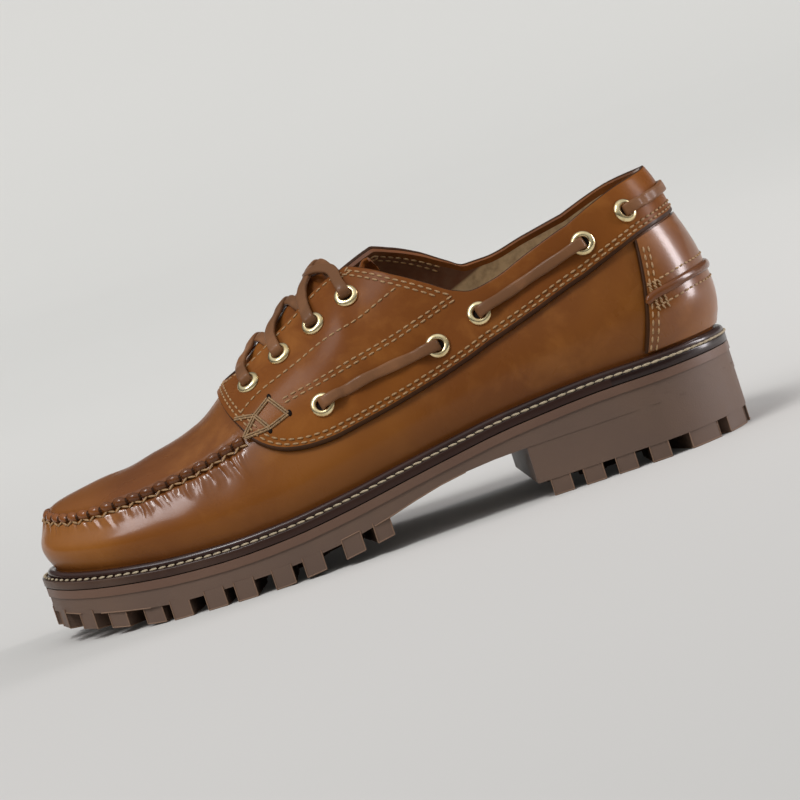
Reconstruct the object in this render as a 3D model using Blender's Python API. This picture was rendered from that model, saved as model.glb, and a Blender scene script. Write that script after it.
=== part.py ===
"""Camp moccasin, left shoe: a hand-sewn leather upper on a lugged rubber sole.

Axes: +X to the toe, +Y to the outer (lateral) side, +Z up. The shoe stands empty on its sole.
Lengths here are millimetres, and stations run forward from the back of the heel seat. The mesh
builders turn them into metres, with the origin under the middle of the shoe.
"""

import math

import bmesh
import bpy
import numpy as np

MM = 0.001

# Driving sizes
ORIGIN_STATION = 147.1  # the middle of the shoe's length
ORIGIN_SIDE = 3.8  # the middle of its width
WALL = 2.0  # leather of the upper
OVERLAY = 1.7  # leather of the saddle and of the counter
GAP = 0.3  # air between two pieces that touch
HEEL_TURN, TOE_TURN = 46.0, 256.0  # stations where the wall starts to turn round heel and toe
UPPER_TUCK = 2.3  # how far the upper's edge goes down behind the welt's rib
WELT_DEPTH = 7.0  # from the rib's top line down to the rubber
HEEL_TREAD = 7.0  # height of the heel's lugs
HEEL_BREAST = {1: 90.0, -1: 98.0}  # station of the heel's front corner, outer and inner
BULGE_HEIGHT = 11.0  # how far above its bottom edge the wall bulges most
HALF_THROAT, THROAT_FRONT, THROAT_ROUND = 17.0, 200.0, 14.0

LATERAL, MEDIAL = 1, -1
SIDES = {"lateral": LATERAL, "medial": MEDIAL}

# Plan outline of the sole, from heel to toe: station, distance from the shoe's axis.
SOLE_OUTLINE = {
    LATERAL: [(-4, 0), (2, 19), (14, 33), (29, 42), (46, 45), (71, 47), (113, 51), (149, 58),
              (190, 61.5), (220, 59.5), (247, 52.5), (278, 38), (295, 20), (301, -2)],
    MEDIAL: [(-4, 0), (2, 18), (14, 32), (29, 41.8), (46, 44.9), (74, 44), (98, 37), (116, 33.6),
             (134, 35), (154, 40), (169, 45.6), (186, 51), (208, 53.8), (237, 52.2), (266, 44.5),
             (290, 28), (301, 2)],
}
WELT_WIDTH = [(-4, 4.2), (40, 4.6), (100, 5.6), (180, 6.2), (260, 6.4), (301, 7.0)]

# Height of the welt's rib, where the upper starts, along the shoe: station, height.
SEAT = [(-8, 42.0), (46, 42.4), (91, 39.8), (120, 36.0), (143, 32.6), (168, 28.7), (195, 25.6), (220, 24.6),
        (240, 25.0), (265, 27.0), (285, 29.4), (301, 32.0)]

# The last, a row for each section from the back of the heel to the toe. "turn" is the section's
# direction in plan. bulge is outward in mm; mid, shoulder and crown are points on the wall, each
# as a share of the bottom edge's distance and a height; ridge is the height on the centre line.
LAST_COLUMNS = "station centre turn bulge mid mid_z shoulder shoulder_z crown crown_z ridge_z"
LAST = {
    LATERAL: [
        (46, 0.0, 180, 2.6, 1.070, 66, 0.950, 91, 0.820, 113, 138),
        (46, 0.0, 135, 2.5, 1.060, 66, 0.945, 90, 0.815, 110, 138),
        (46, 0.0, 90, 2.3, 1.040, 66, 0.930, 85, 0.800, 104, 138),
        (91, 1.0, 90, 2.4, 1.030, 64, 0.900, 80, 0.760, 95, 134),
        (120, 2.0, 90, 2.4, 1.010, 60, 0.880, 80, 0.640, 104, 127),
        (143, 2.0, 90, 2.4, 1.000, 56, 0.860, 78, 0.570, 101, 119.5),
        (168, 2.5, 90, 2.2, 0.990, 51, 0.865, 67, 0.600, 87, 104),
        (195, 3.0, 90, 2.0, 0.985, 47, 0.870, 61, 0.580, 77, 86.5),
        (220, 2.5, 90, 2.0, 0.980, 45, 0.865, 55.5, 0.500, 65.3, 69.5),
        (240, 2.0, 90, 2.0, 0.980, 44, 0.870, 53, 0.500, 60.8, 64.2),
        (256, 1.5, 90, 2.2, 0.985, 43.5, 0.880, 52, 0.500, 58.8, 61.2),
        (256, 1.5, 45, 2.5, 1.000, 44.5, 0.895, 52, 0.500, 58.8, 61.2),
        (256, 1.5, 0, 2.8, 1.030, 46, 0.930, 53, 0.500, 59.0, 61.2),
    ],
    MEDIAL: [
        (46, 0.0, 180, 2.6, 1.070, 66, 0.950, 91, 0.820, 113, 138),
        (46, 0.0, 135, 2.5, 1.055, 66, 0.940, 90, 0.810, 110, 138),
        (46, 0.0, 90, 2.3, 1.030, 66, 0.920, 85, 0.790, 104, 138),
        (91, 1.0, 90, 3.6, 1.110, 64, 1.030, 82, 0.890, 99, 134),
        (120, 2.0, 90, 5.0, 1.260, 60, 1.210, 80, 0.860, 107, 127),
        (143, 2.0, 90, 4.6, 1.180, 55, 1.100, 76, 0.760, 101, 119.5),
        (168, 2.5, 90, 3.2, 1.050, 50, 0.960, 67, 0.650, 88, 104),
        (195, 3.0, 90, 2.2, 0.990, 46, 0.880, 61, 0.580, 77, 86.5),
        (220, 2.5, 90, 2.0, 0.980, 44, 0.865, 55.5, 0.500, 65.3, 69.5),
        (240, 2.0, 90, 2.0, 0.980, 43, 0.870, 53, 0.500, 60.8, 64.2),
        (256, 1.5, 90, 2.2, 0.985, 43.5, 0.880, 52, 0.500, 58.8, 61.2),
        (256, 1.5, 45, 2.5, 1.000, 44.5, 0.895, 52, 0.500, 58.8, 61.2),
        (256, 1.5, 0, 2.8, 1.030, 46, 0.930, 53, 0.500, 59.0, 61.2),
    ],
}
TOE_ROW = 12.0

# The collar line from the back of the heel to the top of the facing: row of the last, height.
COLLAR = {
    LATERAL: [(0, 114.5), (1, 111.5), (2, 103.0), (2.4, 97.4), (2.8, 91.2), (3, 89.8), (3.25, 92.0),
              (3.6, 98.4), (4, 105.4), (4.35, 110.0), (4.7, 113.2), (5, 115.0)],
    MEDIAL: [(0, 114.5), (1, 111.5), (2, 104.0), (2.4, 100.4), (2.8, 96.8), (3, 96.8), (3.25, 101.0),
             (3.6, 108.0), (4, 113.8), (4.35, 117.0), (4.7, 118.8), (5, 119.5)],
}

# Lines drawn on the upper's side: row of the last, share of the way up.
SADDLE_EDGE = [(0, 0.435), (0.6, 0.43), (1.0, 0.42), (1.4, 0.395), (1.95, 0.35), (2.6, 0.283), (3.3, 0.233),
               (4.2, 0.207), (5.05, 0.200), (5.65, 0.206), (6.1, 0.225), (6.45, 0.258), (6.7, 0.300),
               (6.95, 0.375), (7.05, 0.43), (7.15, 0.50), (7.22, 0.56), (7.28, 0.64), (7.33, 0.75), (7.365, 0.88),
               (7.38, 1.0)]
SEAM_LINE = [(7.15, 0.425), (7.5, 0.43), (8, 0.425), (8.7, 0.42), (9.4, 0.415), (10, 0.42), (10.5, 0.415),
             (11, 0.41), (12, 0.41)]
COUNTER_EDGE = [(0, 1.56), (0.35, 1.42), (0.7, 1.28), (1, 1.16)]  # share of the counter's height, row
RIB_LINE = [(0, 0.218), (0.6, 0.217), (1.0, 0.208), (1.25, 0.200), (1.38, 0.186)]
FRONT_EYELETS = [(6.80, 0.675), (6.22, 0.69), (5.55, 0.683), (4.90, 0.692)]
SIDE_EYELETS = [(5.80, 0.358), (3.70, 0.333), (3.00, 0.375), (1.85, 0.467), (1.10, 0.517)]

# Heights along the sole: station, height.
TREAD = [(140, 8.5), (160, 5.2), (170, 3.6), (180, 2.2), (190, 1.2), (200, 0.4), (208, 0), (244, 0), (256, 1.0),
         (265, 2.2), (281, 4.6), (291, 6.2), (301, 8.3)]
WAIST = [(-4, 23), (94, 22.5), (118, 21.0), (137, 17.5), (150, 14.2), (160, 11.9), (180, 8.9), (200, 7.1),
         (244, 6.7), (265, 8.9), (281, 11.2), (301, 14.8)]

# Bars of the tread, each from the sole's edge to the hollow in the middle: outer x, y, inner x, y.
FOREFOOT_BARS = [
    (154.5, 58, 162.5, 22.5), (168.5, 60, 171.5, 25), (186, 61, 187.3, 25.6), (199.5, 61, 197.7, 25.4),
    (216, 60, 211.8, 25), (229, 57.5, 221.6, 22.8), (244, 53, 235, 20.9), (255.7, 48, 244, 18.2),
    (271, 41, 256, 13.8), (284.3, 32, 262.5, 10.3), (295.4, 17.5, 266.6, 6.3), (301.7, 1, 267.5, 1.2),
    (299.5, -14.2, 267.2, -4.6), (290, -28.5, 264.6, -9.4), (276, -39, 257.5, -12.5), (261, -46, 248.5, -14.5),
    (249.5, -50, 238, -15.3), (234, -52.5, 225, -16.3), (220, -53.5, 215, -15.8), (204, -53.8, 202, -14.4),
    (190.5, -52, 192.3, -12.8), (173.5, -47.5, 178.3, -8.7), (159, -42, 169, -5),
]
HEEL_BARS = [
    (37.3, 45, 41.9, 12.1), (52.1, 46, 53.8, 13.5), (66.1, 47, 67.8, 15), (80, 48, 79.6, 15.6),
    (44.8, -45.5, 44.7, -9.1), (59.6, -45.5, 57.6, -9.6), (74.4, -44.5, 71.8, -9.2), (88, -41.5, 83.6, -7.8),
]
# Wedges round the back of the heel: outer corner x, y, outer corner x, y, inner x, y, inner x, y.
HEEL_WEDGES = [
    (10, 31.8, 24, 38, 34.6, 9.7, 32.4, 7.2), (-2.8, 11.2, 4.1, 26.2, 31.6, 5.6, 30.2, 3.2),
    (-2, -11.6, -4, 4.4, 29.6, 1.6, 29.8, -0.6), (11.8, -32.3, 1, -16.9, 30.4, -2.4, 31.8, -4.6),
    (31.4, -43.5, 14.8, -34.8, 33.2, -6.2, 36.4, -7.9),
]
FOREFOOT_STARS = [(166.8, 10.6), (184.8, 2.9), (198.7, 14.3), (205.5, -1), (218.7, 10.1), (225, -5.4),
                  (237.8, 5.2), (255, -0.2)]
HEEL_STAR = (63.3, 3.0)
STAR_REACH = 8.8
LACE = (2.15, 0.9)  # half its width, half its thickness
# The tongue: station, half its width, lift off its resting place.
TONGUE = [(214, 19, -1.5), (206, 20, -2.5), (196, 21, -1.1), (181, 22, -0.3), (166, 23, -0.3), (152, 24, -0.3),
          (143, 23, -0.4), (138, 20, -0.6), (133, 14, -1), (129, 7, -2), (126.5, 2, -3)]
BAR_WIDTHS = [(0.0, 8.4), (0.50, 6.4), (0.58, 4.4), (0.66, 6.0), (1.0, 4.8)]  # share of its length, width


# ---------------------------------------------------------------- curves

def natural_spline(points, count):
    """Points along a natural cubic through these points, by chord length."""
    points = np.array(points, float)
    at = np.concatenate([[0], np.cumsum(np.linalg.norm(np.diff(points, axis=0), axis=1))])
    step = np.diff(at)
    n = len(points)
    matrix, right = np.eye(n), np.zeros(points.shape)
    for i in range(1, n - 1):
        matrix[i, i - 1: i + 2] = step[i - 1], 2 * (step[i - 1] + step[i]), step[i]
        right[i] = 6 * ((points[i + 1] - points[i]) / step[i] - (points[i] - points[i - 1]) / step[i - 1])
    bend = np.linalg.solve(matrix, right)
    x = np.linspace(0, at[-1], count)
    k = np.clip(np.searchsorted(at, x, side="right") - 1, 0, n - 2)
    h = step[k][:, None]
    a, b = (at[k + 1] - x)[:, None], (x - at[k])[:, None]
    return (bend[k] * a**3 + bend[k + 1] * b**3) / (6 * h) + (points[k] / h - bend[k] * h / 6) * a + (
        points[k + 1] / h - bend[k + 1] * h / 6) * b


def smooth_table(rows, x):
    """Value at x of a table of (x, value) rows, with no overshoot between them."""
    rows = np.array(sorted(rows), float)
    at, value = rows[:, 0], rows[:, 1]
    step = np.diff(at)
    rise = np.diff(value) / step
    slope = np.zeros(len(at))
    slope[0], slope[-1] = rise[0], rise[-1]
    for i in range(1, len(at) - 1):
        if rise[i - 1] * rise[i] > 0:
            w1, w2 = 2 * step[i] + step[i - 1], step[i] + 2 * step[i - 1]
            slope[i] = (w1 + w2) / (w1 / rise[i - 1] + w2 / rise[i])
    x = np.clip(np.asarray(x, float), at[0], at[-1])
    k = np.clip(np.searchsorted(at, x, side="right") - 1, 0, len(at) - 2)
    t = (x - at[k]) / step[k]
    return ((1 + 2 * t) * (1 - t) ** 2 * value[k] + t * (1 - t) ** 2 * step[k] * slope[k]
            + t * t * (3 - 2 * t) * value[k + 1] + t * t * (t - 1) * step[k] * slope[k + 1])


def seat_height(station):
    return smooth_table(SEAT, station)


# ---------------------------------------------------------------- outlines

def inset(points, distance):
    """A heel-to-toe line moved sideways towards the shoe's axis."""
    along = np.gradient(points, axis=0)
    along /= np.linalg.norm(along, axis=1)[:, None]
    across = np.stack([-along[:, 1], along[:, 0]], axis=1)
    side = -np.sign(points[len(points) // 2, 1])
    return points + across * side * np.asarray(distance).reshape(-1, 1)


def sole_edge(side, count=400):
    line = np.array(SOLE_OUTLINE[side], float) * (1, side)
    whole = np.concatenate([line[1:4][::-1] * (1, -1), line, line[-4:-1][::-1] * (1, -1)])
    dense = natural_spline(whole, count * 2)
    first = np.argmin(np.linalg.norm(dense - line[0], axis=1))
    last = np.argmin(np.linalg.norm(dense - line[-1], axis=1))
    dense = dense[first:last + 1]
    pick = np.linspace(0, len(dense) - 1, count)
    return np.stack([np.interp(pick, np.arange(len(dense)), dense[:, i]) for i in (0, 1)], axis=1)


EDGE = {side: sole_edge(side) for side in (LATERAL, MEDIAL)}
FEATHER = {side: inset(EDGE[side], smooth_table(WELT_WIDTH, EDGE[side][:, 0])) for side in EDGE}


def ray_hit(line, start, angle):
    """Distance from start, along this direction, to the line."""
    way = np.array([math.cos(angle), math.sin(angle)])
    rest = line - start
    across = rest[:, 0] * way[1] - rest[:, 1] * way[0]
    along = rest @ way
    hits = np.nonzero((across[:-1] * across[1:] <= 0) & (along[:-1] > 0))[0]
    if not len(hits):
        return along[np.argmin(np.where(along > 0, np.abs(across), 1e9))]
    i = hits[0]
    t = across[i] / (across[i] - across[i + 1]) if across[i] != across[i + 1] else 0
    return along[i] + t * (along[i + 1] - along[i])


# ---------------------------------------------------------------- the last's surface

SECTION_STEPS = 120
ROW_STEP = 0.05


def last_row(side, row):
    names = LAST_COLUMNS.split()
    table = np.array(LAST[side], float)
    values = {}
    for i, name in enumerate(names):
        if name in ("station", "turn"):
            values[name] = np.interp(row, np.arange(len(table)), table[:, i])
        else:
            values[name] = float(smooth_table(list(enumerate(table[:, i])), row))
    return values


def section(side, row):
    """One section of the last, from the bottom edge to the centre line, as SECTION_STEPS + 1 points."""
    s = last_row(side, row)
    centre = np.array([s["station"], s["centre"]])
    angle = side * math.radians(s["turn"])
    line = np.concatenate([FEATHER[MEDIAL][::-1], FEATHER[LATERAL]]) if s["turn"] > 90 else np.concatenate(
        [FEATHER[side], FEATHER[-side][::-1]])
    reach = ray_hit(line, centre, angle)
    foot = centre + reach * np.array([math.cos(angle), math.sin(angle)])
    low = float(seat_height(foot[0]))
    half = [(reach, low), (reach + s["bulge"], low + BULGE_HEIGHT), (reach * s["mid"], s["mid_z"]),
            (reach * s["shoulder"], s["shoulder_z"]), (reach * s["crown"], s["crown_z"])]
    whole = half + [(0, s["ridge_z"])] + [(-out, z) for out, z in half[::-1][:3]]
    dense = natural_spline(whole, 1200)
    end = np.argmax(dense[:, 0] <= 0)
    dense = dense[:end + 1]
    dense[-1] = 0, s["ridge_z"]
    length = np.concatenate([[0], np.cumsum(np.linalg.norm(np.diff(dense, axis=0), axis=1))])
    at = np.linspace(0, length[-1], SECTION_STEPS + 1)
    out, z = (np.interp(at, length, dense[:, i]) for i in (0, 1))
    return np.stack([centre[0] + out * math.cos(angle), centre[1] + out * math.sin(angle), z], axis=1)


class Skin:
    """The last's outer surface, read by (around, up): around is the row, minus on the inner side,
    and up runs from 0 at the bottom edge to 1 at the centre line."""

    def __init__(self):
        rows = np.arange(0, TOE_ROW + ROW_STEP / 2, ROW_STEP)
        inner = [section(MEDIAL, row) for row in rows[:0:-1]]
        outer = [section(LATERAL, row) for row in rows]
        self.points = np.array(inner + outer)
        ring = self.points[:-1]
        around = np.roll(ring, -1, axis=0) - np.roll(ring, 1, axis=0)
        up = np.gradient(ring, axis=1)
        normals = np.cross(around, up)
        normals[:, -4:] = normals[:, -5:-4]
        normals = np.concatenate([normals, normals[:1]])
        self.normals = -normals / np.linalg.norm(normals, axis=2)[:, :, None]
        top = self.normals[:, -1] + self.normals[::-1, -1]
        at_toe = np.abs(self.rows()) >= TOE_ROW - 2
        top[at_toe] = top[at_toe].mean(axis=0)
        self.normals[:, -1] = top / np.linalg.norm(top, axis=1)[:, None]

    def rows(self):
        return np.linspace(-TOE_ROW, TOE_ROW, len(self.points))

    def at(self, around, up, out=0.0):
        """The point this far outside the surface."""
        around = (around + TOE_ROW) % (2 * TOE_ROW) if abs(around) > TOE_ROW else around + TOE_ROW
        i = min(around / ROW_STEP, len(self.points) - 1.001)
        j = min(max(up, 0.0) * SECTION_STEPS, SECTION_STEPS - 0.001)
        i0, j0 = int(i), int(j)
        a, b = i - i0, j - j0
        read = []
        for grid in (self.points, self.normals):
            read.append((grid[i0, j0] * (1 - b) + grid[i0, j0 + 1] * b) * (1 - a)
                        + (grid[i0 + 1, j0] * (1 - b) + grid[i0 + 1, j0 + 1] * b) * a)
        return read[0] + out * read[1] / np.linalg.norm(read[1])

    def find(self, side, station, height):
        """(around, up) of the point seen at this station and height from one side."""
        rows = self.rows()
        pick = np.nonzero(rows * side >= 0)[0]
        part = self.points[pick][:, :, (0, 2)]
        far = ((part - (station, height)) ** 2).sum(axis=2)
        i, j = np.unravel_index(np.argmin(far), far.shape)
        around, up = rows[pick[i]], j / SECTION_STEPS
        for step in (0.5, 0.25, 0.12, 0.06):
            tries = [(around + a * ROW_STEP * step, up + b * step / SECTION_STEPS)
                     for a in (-1, 0, 1) for b in (-1, 0, 1)]
            around, up = min(tries, key=lambda t: ((self.at(*t)[[0, 2]] - (station, height)) ** 2).sum())
        return around, up

    def up_to(self, around, reached):
        """The lowest share of a section at which reached(point, distance to the centre line) holds."""
        i = (around + TOE_ROW) / ROW_STEP
        i0, i1 = math.floor(i), math.ceil(i)
        line = self.points[i0] * (1 + i0 - i) + self.points[i1] * (i - i0)
        away = np.linalg.norm(line[:, :2] - line[-1, :2], axis=1)
        score = reached(line, away)
        k = int(np.argmax(score >= 0))
        if score[k] < 0:
            return 1.0
        if k == 0:
            return 0.0
        return (k - 1 + score[k - 1] / (score[k - 1] - score[k])) / SECTION_STEPS


SKIN = Skin()


# ---------------------------------------------------------------- lines on the last

STATIONS = [row[0] for row in LAST[LATERAL][2:11]]


def station_of(row):
    return float(np.interp(abs(row), np.arange(2, 11), STATIONS))


def row_of(station):
    return float(np.interp(station, STATIONS, np.arange(2, 11)))


def half_throat(row):
    """Half the throat's width, rounded off at its front end."""
    past = (station_of(row) - (THROAT_FRONT - THROAT_ROUND)) / THROAT_ROUND
    return HALF_THROAT * math.sqrt(max(0.0, 1 - max(0.0, past) ** 2))


def rim(around):
    """How far up each section the leather reaches: the collar, the throat's edge or the centre line."""
    row, side = abs(around), LATERAL if around >= 0 else MEDIAL
    if station_of(row) >= THROAT_FRONT and row > 2:
        return 1.0
    up = 1.0
    if row <= COLLAR[side][-1][0]:
        height = float(smooth_table(COLLAR[side], row))
        up = SKIN.up_to(around, lambda line, away: line[:, 2] - height)
    if row > 4:
        half = half_throat(row)
        up = min(up, SKIN.up_to(around, lambda line, away: half - away))
    return up


def across_throat(row, aside):
    """(around, up) at a distance from the centre line, minus on the inner side."""
    around = row if aside >= 0 else -row
    return around, SKIN.up_to(around, lambda line, away: abs(aside) - away)


def saddle_low(around):
    return float(smooth_table(SADDLE_EDGE, abs(around)))


def mirrored(rows):
    """The rows on the inner side, then those on the outer side."""
    return [-row for row in rows[::-1] if row] + list(rows)


HEEL_ROWS = [0, 0.35, 0.7, 1.0, 1.3, 1.65]
QUARTER_ROWS = [2, 2.3, 2.6, 2.85, 3.1, 3.35, 3.65, 4, 4.35, 4.7, 5]
FACING_ROWS = [5.35, 5.7, 6.05, 6.4, 6.7, 6.9, 7.05, 7.15, row_of(THROAT_FRONT)]
BRIDGE_ROWS = [7.25, 7.3, 7.34, 7.365, 7.38]
VAMP_ROWS = [7.6, 8, 8.4, 8.8, 9.2, 9.6, 10]
TOE_ROWS = [10.35, 10.7, 11, 11.33, 11.67, 12]


# ---------------------------------------------------------------- solids

def fresh_scene():
    for old in list(bpy.data.objects):
        bpy.data.objects.remove(old, do_unlink=True)
    groups = {}
    for name in ("parts", "cutters"):
        groups[name] = bpy.data.collections.new(name)
        bpy.context.scene.collection.children.link(groups[name])
    return groups


def material(name, colour, roughness, metallic=0.0):
    made = bpy.data.materials.new(name)
    made.use_nodes = True
    shader = made.node_tree.nodes["Principled BSDF"]
    shader.inputs["Base Color"].default_value = (*colour, 1)
    shader.inputs["Roughness"].default_value = roughness
    shader.inputs["Metallic"].default_value = metallic
    return made


def welded(points, faces):
    """One point for all that coincide. Folded faces go, and so do pairs that lie back to back."""
    points = np.array(points, float)
    same = [int(np.argmax(((points - point) ** 2).sum(axis=1) < 0.01 ** 2)) for point in points]
    found = {}
    for face in faces:
        corners = [same[i] for i in face]
        corners = [c for c, after in zip(corners, corners[1:] + corners[:1]) if c != after]
        if len(set(corners)) > 2:
            found.setdefault(frozenset(corners), []).append(corners)
    faces = [pair[0] for pair in found.values() if len(pair) == 1]
    faces = [part for face in faces for part in halves(points, face)]
    used = sorted({corner for face in faces for corner in face})
    place = {corner: i for i, corner in enumerate(used)}
    return points[used], [[place[corner] for corner in face] for face in faces]


def halves(points, face):
    """A face with four corners that don't lie in one plane, cut along its shorter diagonal."""
    if len(face) != 4:
        return [face]
    a, b, c, d = face
    twist = np.dot(np.cross(points[b] - points[a], points[c] - points[a]), points[d] - points[a])
    if abs(twist) < 0.01 * np.linalg.norm(points[b] - points[a]) * np.linalg.norm(points[c] - points[a]):
        return [face]
    if np.linalg.norm(points[a] - points[c]) < np.linalg.norm(points[b] - points[d]):
        return [[a, b, c], [a, c, d]]
    return [[a, b, d], [b, c, d]]


def solid(name, points, faces, group, look=None):
    """One closed mesh in metres about the middle of the shoe, with its faces outwards."""
    points, faces = welded(points, faces)
    points = (points - (ORIGIN_STATION, ORIGIN_SIDE, 0)) * MM
    mesh = bpy.data.meshes.new(name)
    mesh.from_pydata(points.tolist(), [], faces)
    body = bmesh.new()
    body.from_mesh(mesh)
    bmesh.ops.recalc_face_normals(body, faces=body.faces)
    if body.calc_volume(signed=True) < 0:
        bmesh.ops.reverse_faces(body, faces=body.faces)
    body.to_mesh(mesh)
    body.free()
    made = bpy.data.objects.new(name, mesh)
    group.objects.link(made)
    if look:
        mesh.materials.append(look)
    return made


def loft(sections, ring=False):
    """Points and faces of a solid through closed sections of equal length. A ring has no ends, and
    an end whose section folds flat needs no face of its own."""
    size, count = len(sections[0]), len(sections)
    points = [point for line in sections for point in line]
    faces = []
    for i in range(count if ring else count - 1):
        a, b = i * size, (i + 1) % count * size
        faces += [(a + j, a + (j + 1) % size, b + (j + 1) % size, b + j) for j in range(size)]
    for i in () if ring else (0, count - 1):
        if max(np.linalg.norm(np.subtract(p, q)) for p, q in zip(sections[i], sections[i][::-1])) > 0.02:
            faces.append(tuple(range(i * size, (i + 1) * size)))
    return points, faces


def cutter(obj):
    obj.hide_render = True
    obj.display_type = "WIRE"
    return obj


def boolean(obj, operation, other):
    cut = obj.modifiers.new(other.name, "BOOLEAN")
    cut.operation = operation
    cut.solver = "EXACT"
    cut.object = other


# ---- Upper and its overlays

def skin_wall(around, ups, inside, outside):
    """A closed section between two offsets of the last: up the outside, then down the inside."""
    return ([SKIN.at(around, up, outside) for up in ups]
            + [SKIN.at(around, up, inside) for up in ups[::-1]])


def upper_heights(around):
    """Shares of the height where a section has points, shared with the saddle that lies over it."""
    low, top = saddle_low(around), rim(around)
    if low >= 1:
        return [0, 0.09, 0.2, 0.32, 0.43, 0.54, 0.65, 0.76, 0.87, 1.0], 0
    below = [low * share for share in (0, 0.33, 0.66)]
    return below + [low + (top - low) * share for share in (0, 0.16, 0.32, 0.49, 0.66, 0.83, 1)], 3


def upper_section(around):
    """The wall from its bottom edge, tucked in behind the welt's rib, to its rim."""
    ups, first = upper_heights(around)
    line = skin_wall(around, ups, -WALL, 0)
    feet = [line[-1] * (1, 1, 0), line[0] * (1, 1, 0)]
    for foot in feet:
        foot[2] = line[0][2] - UPPER_TUCK
    return line + feet


def build_upper(group, look):
    rows = HEEL_ROWS + QUARTER_ROWS + FACING_ROWS + BRIDGE_ROWS + VAMP_ROWS + TOE_ROWS
    sections = [upper_section(around) for around in mirrored(rows)[1:]]
    return solid("upper", *loft(sections, ring=True), group, look)


def saddle_section(around):
    ups, first = upper_heights(around)
    return skin_wall(around, ups[first:] if first else [1.0] * 7, GAP, GAP + OVERLAY)


def build_saddle(group, look):
    rows = HEEL_ROWS + QUARTER_ROWS + FACING_ROWS + BRIDGE_ROWS
    sections = [saddle_section(around) for around in mirrored(rows)]
    return solid("saddle", *loft(sections), group, look)


def build_counter(group, look):
    """The heel counter: its front edges lean back as they rise."""
    heights, rows = zip(*COUNTER_EDGE)
    sections = []
    for share in np.linspace(-1, 1, 23):
        line = []
        for height in (0, 0.25, 0.5, 0.75, 1):
            around = share * float(np.interp(height, heights, rows))
            line.append((around, 0.012 + height * (saddle_low(around) - 0.032)))
        outside = [SKIN.at(*spot, GAP + OVERLAY) for spot in line]
        sections.append(outside + [SKIN.at(*spot, GAP + 0.1) for spot in line[::-1]])
    return solid("heel_counter", *loft(sections), group, look)


def strip(name, lines, half, inside, outside, group, look):
    """A narrow raised strip along a line of (around, up), half of its width either side."""
    sections = []
    for around, up in lines:
        rise = np.linalg.norm(SKIN.at(around, up + 0.01) - SKIN.at(around, up - 0.01)) / 0.02
        reach = half / rise
        spots = [(up - reach, inside), (up - reach, outside * 0.6), (up - reach * 0.5, outside),
                 (up + reach * 0.5, outside), (up + reach, outside * 0.6), (up + reach, inside)]
        sections.append([SKIN.at(around, height, out) for height, out in spots])
    return solid(name, *loft(sections), group, look)


def build_moc_seam(group, look):
    """The raised lip round the vamp, where the plug is sewn to the wall."""
    rows = [7.27] + list(np.arange(7.5, TOE_ROW + 0.01, 0.25))
    rows += [-row for row in rows[-2::-1]]
    lines = [(row, float(smooth_table(SEAM_LINE, abs(row)))) for row in rows]
    return strip("moc_seam", lines, 2.2, GAP, GAP + 1.9, group, look)


def build_heel_rib(group, look):
    rows = np.linspace(-RIB_LINE[-1][0], RIB_LINE[-1][0], 25)
    lines = [(row, float(smooth_table(RIB_LINE, abs(row)))) for row in rows]
    clear = 2 * GAP + OVERLAY
    return strip("heel_rib", lines, 1.8, clear, clear + 1.6, group, look)


def build_tongue(group, look):
    """The tongue lies against the inside of the throat and ends in a point above it."""
    sections = []
    for station, half, lift in TONGUE:
        line = [across_throat(row_of(station), share * half) for share in np.linspace(-1, 1, 9)]
        top = [SKIN.at(*spot, lift - WALL - GAP) for spot in line]
        sections.append(top + [SKIN.at(*spot, lift - WALL - GAP - 2.0) for spot in line[::-1]])
    return solid("tongue", *loft(sections), group, look)


# ---- Sole

def outline(lines, out, count=30):
    """Points (x, y) of both sides from heel to toe, moved out from the given lines."""
    moved = {}
    for side, line in lines.items():
        along = np.gradient(line, axis=0)
        along /= np.linalg.norm(along, axis=1)[:, None]
        normal = np.stack([-along[:, 1], along[:, 0]], axis=1) * side
        pick = np.linspace(0, len(line) - 1, count + 1).round().astype(int)
        reach = out(line[pick, 0]) if callable(out) else np.full(count + 1, float(out))
        moved[side] = line[pick] + normal[pick] * reach[:, None]
    for end in (0, -1):
        moved[LATERAL][end] = moved[MEDIAL][end] = (moved[LATERAL][end] + moved[MEDIAL][end]) / 2
    return moved


def plate(name, lines, levels, group, look=None, span=(None, None)):
    """A solid with the sole's outline through levels of (offset outwards, height of a station)."""
    rings = []
    for out, height in levels:
        plan = outline(lines, out)
        rings.append({side: [(x, y, height(x)) for x, y in plan[side][slice(*span)]] for side in plan})
    sections = []
    for k in range(len(rings[0][LATERAL])):
        sections.append([ring[LATERAL][k] for ring in rings] + [ring[MEDIAL][k] for ring in rings[::-1]])
    return solid(name, *loft(sections), group, look)


def prism(corners, low, high):
    """Points and faces of an upright prism over corners (x, y)."""
    size = len(corners)
    points = [(x, y, z) for z in (low, high) for x, y in corners]
    faces = [tuple(range(size)), tuple(range(size, 2 * size))]
    faces += [(i, (i + 1) % size, size + (i + 1) % size, size + i) for i in range(size)]
    return points, faces


def bar_corners(outer, inner):
    """A bar of the tread: wide at the sole's edge, with a neck past its middle."""
    start, end = np.array(outer, float), np.array(inner, float)
    along = end - start
    across = np.array([-along[1], along[0]]) / np.linalg.norm(along)
    left = [start + along * share + across * width / 2 for share, width in BAR_WIDTHS]
    right = [start + along * share - across * width / 2 for share, width in BAR_WIDTHS]
    return left + right[::-1]


def star_corners(centre):
    """A four-pointed star of the tread."""
    corners = []
    for turn in range(4):
        for angle, reach in ((0, 1.0), (27, 0.7), (45, 0.3), (63, 0.7)):
            angle = math.radians(90 * turn + angle)
            corners.append((centre[0] + STAR_REACH * reach * math.cos(angle),
                            centre[1] + STAR_REACH * reach * math.sin(angle)))
    return corners


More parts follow.
